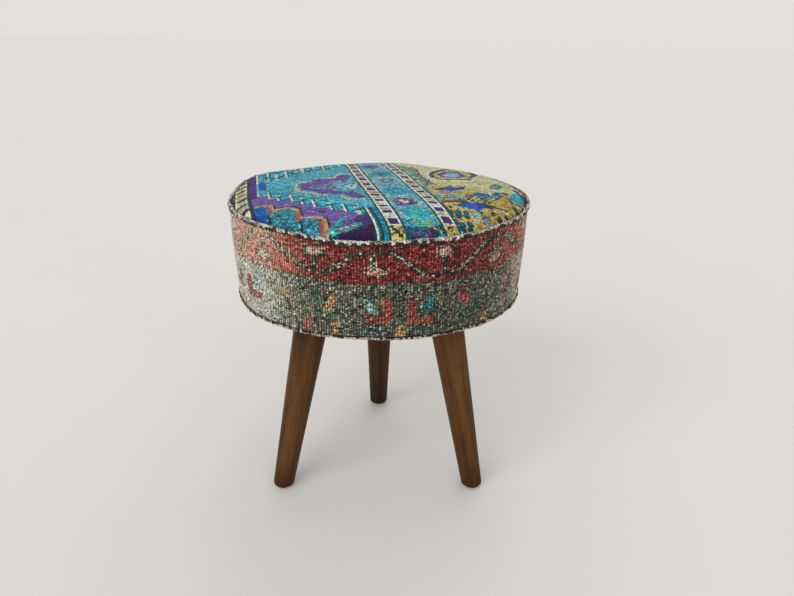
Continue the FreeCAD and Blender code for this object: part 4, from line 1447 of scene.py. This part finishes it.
def weave_finish(name, thread, gap, pitch_mm):
    """Plain weave: over where warp and weft waves agree, in the cloth's own flat millimetres."""
    cloth = Finish(name, Specular_IOR_Level=0.2, Sheen_Weight=0.1)
    flat = cloth.node("UVMap", {"uv_map": "cloth"})
    warp, weft = (cloth.wave(cloth.part(letter, flat) * (2 * np.pi / pitch_mm)) for letter in "XY")
    over = 0.5 + 0.5 * warp * weft
    slub = cloth.noise(240.0, detail=3.0)
    colour = cloth.mix(cloth.step(over + 0.4 * slub, 0.3, 0.9), gap, thread)
    return cloth.show(Base_Color=colour, Roughness=0.8 + 0.15 * slub, Normal=cloth.bump(over, 0.25))


hem_points, hem_map = hem_sheet()
hem_faces = tube_faces(2 * HEM_RINGS, HEM_STEPS)[:, ::-1]
canvas = weave_finish("hem_canvas_weave", rgb(186, 168, 134), rgb(122, 104, 78), 1.6)
hem = make_piece("hem_canvas_strip", hem_points, [hem_faces], canvas, "seat",
                 ("hem_strip",))
give_map(hem, hem_map)

# %% [markdown]
# The dust cover has a square window for each leg plate. It is made from a lattice, as the top is:
# cells outside the disc or inside a window are dropped, and the points on each cut edge are moved
# on to the circle or on to the window's side, so the edges are clean. It is a thin non-woven cloth
# with small pressed dots, and it puckers a little where the staples pull it.

# %% Dust cover
PLACES = ("front_left", "front_right", "rear")
COVER_CELL = 3.0
COVER_LOW, COVER_HIGH = heights("dust_cover")
COVER_RADIUS = half_width("dust_cover")
PLATE_AT, WINDOW_HALF = 97.99, 33.0
LEG_ANGLES = np.radians((210.0, 330.0, 90.0))


def window_frame(x, y, angle):
    """Places as seen from a window's middle: outwards from the stool's middle, and across that."""
    out, across = x * np.cos(angle) + y * np.sin(angle) - PLATE_AT, y * np.cos(angle) - x * np.sin(angle)
    return out, across


def pull_to_window(x, y, angle):
    """Moves points to the nearest side of a window, along the direction in which they are furthest."""
    out, across = window_frame(x, y, angle)
    far = np.maximum(abs(out), abs(across)) / WINDOW_HALF
    near = abs(far - 1) < COVER_CELL * 0.8 / WINDOW_HALF
    out, across = np.where(near, out / far, out), np.where(near, across / far, across)
    out = out + PLATE_AT
    return out * np.cos(angle) - across * np.sin(angle), out * np.sin(angle) + across * np.cos(angle)


def cover_sheet():
    """The lower face with its puckers, the upper face above it, and walls along every cut edge."""
    reach = int(COVER_RADIUS / COVER_CELL) + 1
    line = np.arange(-reach, reach + 1) * COVER_CELL
    x, y = (grid.ravel() for grid in np.meshgrid(line, line))
    faces = grid_faces(len(line), len(line))
    middle_x, middle_y = x[faces].mean(1), y[faces].mean(1)
    kept = np.hypot(middle_x, middle_y) < COVER_RADIUS
    for angle in LEG_ANGLES:
        out, across = window_frame(middle_x, middle_y, angle)
        kept &= np.maximum(abs(out), abs(across)) > WINDOW_HALF
    used, packed = np.unique(faces[kept], return_inverse=True)
    x, y, faces = x[used], y[used], packed.reshape(-1, 4)
    start, end = open_edges(faces)
    rim = np.unique(start)
    on_disc = rim[np.hypot(x[rim], y[rim]) > COVER_RADIUS - 1.5 * COVER_CELL]
    grow = COVER_RADIUS / np.hypot(x[on_disc], y[on_disc])
    x[on_disc], y[on_disc] = x[on_disc] * grow, y[on_disc] * grow
    at_window = np.setdiff1d(rim, on_disc)
    for angle in LEG_ANGLES:
        x[at_window], y[at_window] = pull_to_window(x[at_window], y[at_window], angle)
    turn, share = np.arctan2(y, x), np.hypot(x, y) / COVER_RADIUS
    pucker = 0.18 * np.sin(24 * turn) * share**6 + 0.12 * np.sin(x / 17) * np.sin(y / 21)
    low = np.stack([x, y, COVER_LOW + 0.2 + pucker], -1)
    high = np.stack([x, y, COVER_HIGH - 0.15 + 0.3 * pucker], -1)
    walls = np.stack([start, end, end + len(x), start + len(x)], -1)
    return np.concatenate([low, high]), np.concatenate([faces[:, ::-1], faces + len(x), walls])


def cambric():
    """Black non-woven cover: matted fibres and a grid of small pressed dots."""
    cloth = Finish("black_dust_cover", Specular_IOR_Level=0.2, Sheen_Weight=0.08)
    fibre = cloth.noise(500.0, detail=4.0, rough=0.7)
    dots = cloth.node("TexVoronoi", {}, {"Vector": cloth.place, "Scale": 420.0})
    dust = cloth.noise(14.0, detail=2.0)
    colour = cloth.mix(cloth.step(fibre, 0.3, 0.7), rgb(22, 22, 24), rgb(44, 44, 46))
    colour = cloth.mix(0.3 * cloth.step(dust, 0.55, 0.8), colour, rgb(96, 92, 86))
    height = fibre + cloth.step(dots, 0.15, 0.4)
    return cloth.show(Base_Color=colour, Roughness=0.8 + 0.15 * fibre, Normal=cloth.bump(height, 0.2))


cover_points, cover_faces = cover_sheet()
cover = make_piece("dust_cover_cloth", cover_points, [cover_faces], cambric(), "seat",
                   ("dust_cover",))

# %% [markdown]
# A felt glide under each foot is a turned piece with a soft edge.


# %% Feet
def glide_profile(radius, high):
    """Radius and height from the middle of the sole, round the soft edge, to the middle above."""
    edge = [(radius - 0.9 * (1 - np.cos(t)), high / 2 + high / 2 * np.sin(t) * 0.99) for t in
            np.linspace(-np.pi / 2, np.pi / 2, 9)]
    return [(0.0, 0.02), (radius * 0.6, 0.02), *edge, (radius * 0.6, high - 0.02), (0.0, high - 0.02)]


foot_felt = felt_finish("foot_felt_fibres", rgb(96, 84, 72), rgb(60, 52, 46), 700.0)
for place in PLACES:
    low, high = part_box(place + "_pad")
    centre, radius_mm = (low + high) / 2 / MM, (high.x - low.x) / 2 / MM
    points, faces = turned_solid(glide_profile(radius_mm, high.z / MM), 48)
    points = points + np.array((centre.x, centre.y, 0.0))
    glide = make_piece(place + "_glide", points, faces, foot_felt, place + "_leg",
                       (place + "_pad",))

# %% [markdown]
# ## Wood
# The legs are turned from pale hardwood and stained walnut brown. Grain runs along each leg, so
# the pattern is read in that leg's own directions, which a Mapping node turns to. The plywood
# boards show thin plies at their edge, the posts are pine, and the hoop is hardboard.


# %% Leg wood
def leg_turn(place):
    """The turn that takes the upright direction to a leg's axis, and the point where the axis starts."""
    joint = next(j for j in frame["joints"] if j["name"] == place + "_turn")
    return Vector(joint["axis"]).to_track_quat("Z", "Y").to_euler(), Vector(joint["pos_m"])


def walnut(place, seed, light_and_shade):
    """Stained wood: stretched noise for the grain, short dark pores, a darker foot end, and painted shade at
    the top end, where the seat shades the leg.
    """
    wood = Finish(place + "_leg_wood", Coat_Weight=0.03, Coat_Roughness=0.4, Specular_IOR_Level=0.1)
    turned_by, start = leg_turn(place)
    values = {"Vector": wood.place, "Location": start, "Rotation": turned_by}
    own = wood.node("Mapping", {"vector_type": "TEXTURE"}, values)
    moved = wood.node("VectorMath", {"operation": "ADD"}, {0: own, 1: (seed, seed * 2.3, seed * 0.7)})
    bend = wood.noise(9.0, moved, 1.0)
    broad = wood.noise(1.0, wood.scaled((60.0, 60.0, 3.4), moved), 3.0, 0.6)
    fine = wood.noise(1.0, wood.scaled((420.0, 420.0, 9.0), moved), 4.0, 0.65)
    pores = wood.noise(1.0, wood.scaled((900.0, 900.0, 42.0), moved), 2.0)
    along = wood.part("Z", own)
    grain = wood.step(0.6 * broad + 0.3 * fine + 0.2 * bend, 0.38, 0.7)
    dark, light = (rgb(*(light_and_shade * np.array(stain))) for stain in ((50, 28, 11), (91, 59, 27)))
    colour = wood.mix(grain, dark, light)
    colour = wood.mix(0.6 * wood.step(pores, 0.58, 0.68), colour, rgb(28, 16, 8))
    tip = wood.step(along, 0.255, 0.292)
    # The top end of the leg is darkened as painted shade from the seat above it.
    head = 1 - wood.step(along, 0.004, 0.075)
    colour = wood.mix(0.35 * tip + 0.6 * head, colour, rgb(34, 17, 9))
    rough = 0.42 + 0.2 * fine + 0.12 * tip
    return wood.show(Base_Color=colour, Roughness=rough, Normal=wood.bump(fine + 0.6 * pores, 0.12))


def dress(names, material):
    """Gives CAD nodes that stay a better finish in the slots they have."""
    for name in names:
        for slot in frame["nodes"][name].material_slots:
            slot.material = material
    print(material.name, "on", len(names), "nodes")


# Each leg's stain is scaled by painted light and shade: the rear leg darker as painted shadow of the seat,
# the front right one a little lighter as painted light.
LEG_LIGHT_AND_SHADE = {"front_left": 0.97, "front_right": 1.07, "rear": 0.78}
for number, place in enumerate(PLACES):
    dress([place + "_leg"], walnut(place, 1.7 + number, LEG_LIGHT_AND_SHADE[place]))


# %% Boards, posts and hoop
PLY_PAIR = 0.0036


def plywood():
    """Birch ply: long grain on the faces, and light and dark plies by height on the edge."""
    wood = Finish("birch_plywood", Specular_IOR_Level=0.3)
    ply = wood.wave(wood.part("Z") * (2 * np.pi / PLY_PAIR))
    grain = wood.noise(1.0, wood.scaled((6.0, 90.0, 90.0)), 4.0, 0.6)
    colour = wood.mix(wood.step(grain, 0.35, 0.7), rgb(206, 176, 128), rgb(226, 202, 160))
    flat = wood.scaled((1.0, 1.0, 0.0))
    away = wood.node("VectorMath", {"operation": "LENGTH"}, {0: flat}, out="Value")
    edge = wood.step(away, 0.1768, 0.1774)
    colour = wood.mix(0.7 * edge * wood.step(ply, -0.2, 0.3), colour, rgb(150, 112, 70))
    return wood.show(Base_Color=colour, Roughness=0.6 + 0.2 * grain, Normal=wood.bump(grain, 0.15))


def pine():
    """Planed pine: growth lines along the post's height and a warm yellow."""
    wood = Finish("pine_wood", Specular_IOR_Level=0.3)
    rings = wood.noise(1.0, wood.scaled((110.0, 110.0, 5.0)), 3.0, 0.55)
    fine = wood.noise(1.0, wood.scaled((500.0, 500.0, 16.0)), 3.0)
    colour = wood.mix(wood.step(rings, 0.42, 0.6), rgb(228, 196, 140), rgb(196, 148, 88))
    return wood.show(Base_Color=colour, Roughness=0.55 + 0.2 * fine, Normal=wood.bump(fine + rings, 0.15))


def hardboard():
    """Pressed brown board with short dark fibres."""
    board = Finish("hardboard", Specular_IOR_Level=0.25)
    fibre = board.noise(420.0, detail=6.0, rough=0.75)
    colour = board.mix(board.step(fibre, 0.35, 0.65), rgb(98, 66, 42), rgb(142, 102, 68))
    return board.show(Base_Color=colour, Roughness=0.7 + 0.2 * fibre, Normal=board.bump(fibre, 0.2))


dress(["bottom_board", "top_board"], plywood())
dress([f"post_{n}" for n in range(1, 7)], pine())
dress(["side_hoop"], hardboard())

# %% [markdown]
# ## Metal
# Leg plates are pressed steel with a dull zinc skin, the screws and bolts have a bright zinc
# coating, and nails and staples are plain wire. Fine scratches and patches in the roughness keep
# them from looking like plastic.


# %% Metal
def metal(name, light, dark, rough, thread_mm=None):
    """Worn metal: patchy roughness, fine scratches, and on a bolt the lines of its thread."""
    steel = Finish(name, Metallic=1.0, Specular_IOR_Level=0.5)
    patch = steel.noise(60.0, detail=3.0)
    scratch = steel.noise(1.0, steel.scaled((900.0, 120.0, 900.0)), 2.0)
    colour = steel.mix(steel.step(patch, 0.35, 0.7), dark, light)
    height = scratch
    if thread_mm:
        height = scratch * 0.1 + steel.wave(steel.part("Z") * (2 * np.pi / (thread_mm * MM)))
    return steel.show(Base_Color=colour, Roughness=rough + 0.2 * patch + 0.1 * scratch,
                      Normal=steel.bump(height, 0.25 if thread_mm else 0.03))


plate_steel = metal("zinc_skin_steel", rgb(150, 152, 154), rgb(112, 114, 116), 0.34)
screw_steel = metal("bright_zinc_screws", rgb(186, 184, 176), rgb(148, 144, 132), 0.26, 1.6)
bolt_steel = metal("hanger_bolt_zinc", rgb(180, 180, 176), rgb(140, 140, 136), 0.28, 1.25)
wire_steel = metal("wire_steel", rgb(176, 176, 174), rgb(136, 136, 134), 0.3)
dress([p + "_plate" for p in PLACES], plate_steel)
dress([p + "_plate_screws" for p in PLACES] + ["top_post_screws", "bottom_post_screws"], screw_steel)
dress([p + "_bolt" for p in PLACES], bolt_steel)
dress(["hoop_nails", "hem_staples", "cover_staples"], wire_steel)

# %% [markdown]
# ## Floor and light
# A plain pale floor that keeps the stool's shadow, a wide soft light in front on the left as in the
# photograph, two weaker ones, and an even pale sky that fills the shadows. Lights from far away
# are even over the whole floor, so the far floor is as pale as the near floor.

# %% Floor and light
FLOOR_HALF = 20.0
floor_mesh = bpy.data.meshes.new("floor")
floor_corners = [(x * FLOOR_HALF, y * FLOOR_HALF, 0) for x, y in ((-1, -1), (1, -1), (1, 1), (-1, 1))]
floor_mesh.from_pydata(floor_corners, [], [(0, 1, 2, 3)])
floor = linked("floor", floor_mesh)
pale = Finish("pale_floor", Roughness=0.7, Specular_IOR_Level=0.2)
tone = pale.noise(3.0)
floor_mesh.materials.append(pale.show(Base_Color=pale.mix(tone, rgb(214, 210, 205), rgb(217, 213, 208))))
floor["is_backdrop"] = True


def soft_sun(name, from_where, strength, colour):
    """An even light from one side, as wide as 50 degrees, so its shadows are soft."""
    lamp = bpy.data.lights.new(name, "SUN")
    lamp.angle, lamp.energy, lamp.color = np.radians(50), strength, colour
    facing = (-Vector(from_where)).to_track_quat("-Z", "Y")
    linked(name, lamp).matrix_world = Matrix.Translation(from_where) @ facing.to_matrix().to_4x4()


soft_sun("key_light", (-1.5, -2.0, 1.25), 1.7, (1.0, 0.985, 0.96))
soft_sun("front_light", (1.0, -2.4, 0.9), 0.5, (1.0, 0.99, 0.97))
soft_sun("back_light", (0.4, 1.8, 1.9), 0.5, (0.96, 0.98, 1.0))
world = bpy.data.worlds.new("pale_room")
bpy.context.scene.world = world
world.use_nodes = True
tree = world.node_tree
sky, seen = tree.nodes["Background"], tree.nodes.new("ShaderNodeBackground")
sky.inputs["Color"].default_value = (0.93, 0.94, 0.95, 1)
sky.inputs["Strength"].default_value = 0.74
seen.inputs["Color"].default_value = rgb(228, 224, 219)
both, rays = tree.nodes.new("ShaderNodeMixShader"), tree.nodes.new("ShaderNodeLightPath")
for number, source in enumerate((rays.outputs["Is Camera Ray"], sky.outputs[0], seen.outputs[0])):
    tree.links.new(source, both.inputs[number])
tree.links.new(both.outputs[0], tree.nodes["World Output"].inputs["Surface"])
bpy.context.scene.view_settings.view_transform = "Standard"
print("floor, three lights and a sky")

# %% [markdown]
# ## Size and end
# The visual model's box is printed in millimetres.

# %% Print the visual box
low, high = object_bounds()
print("visual box in mm:", [round(x / MM, 1) for x in (*low, *high)])
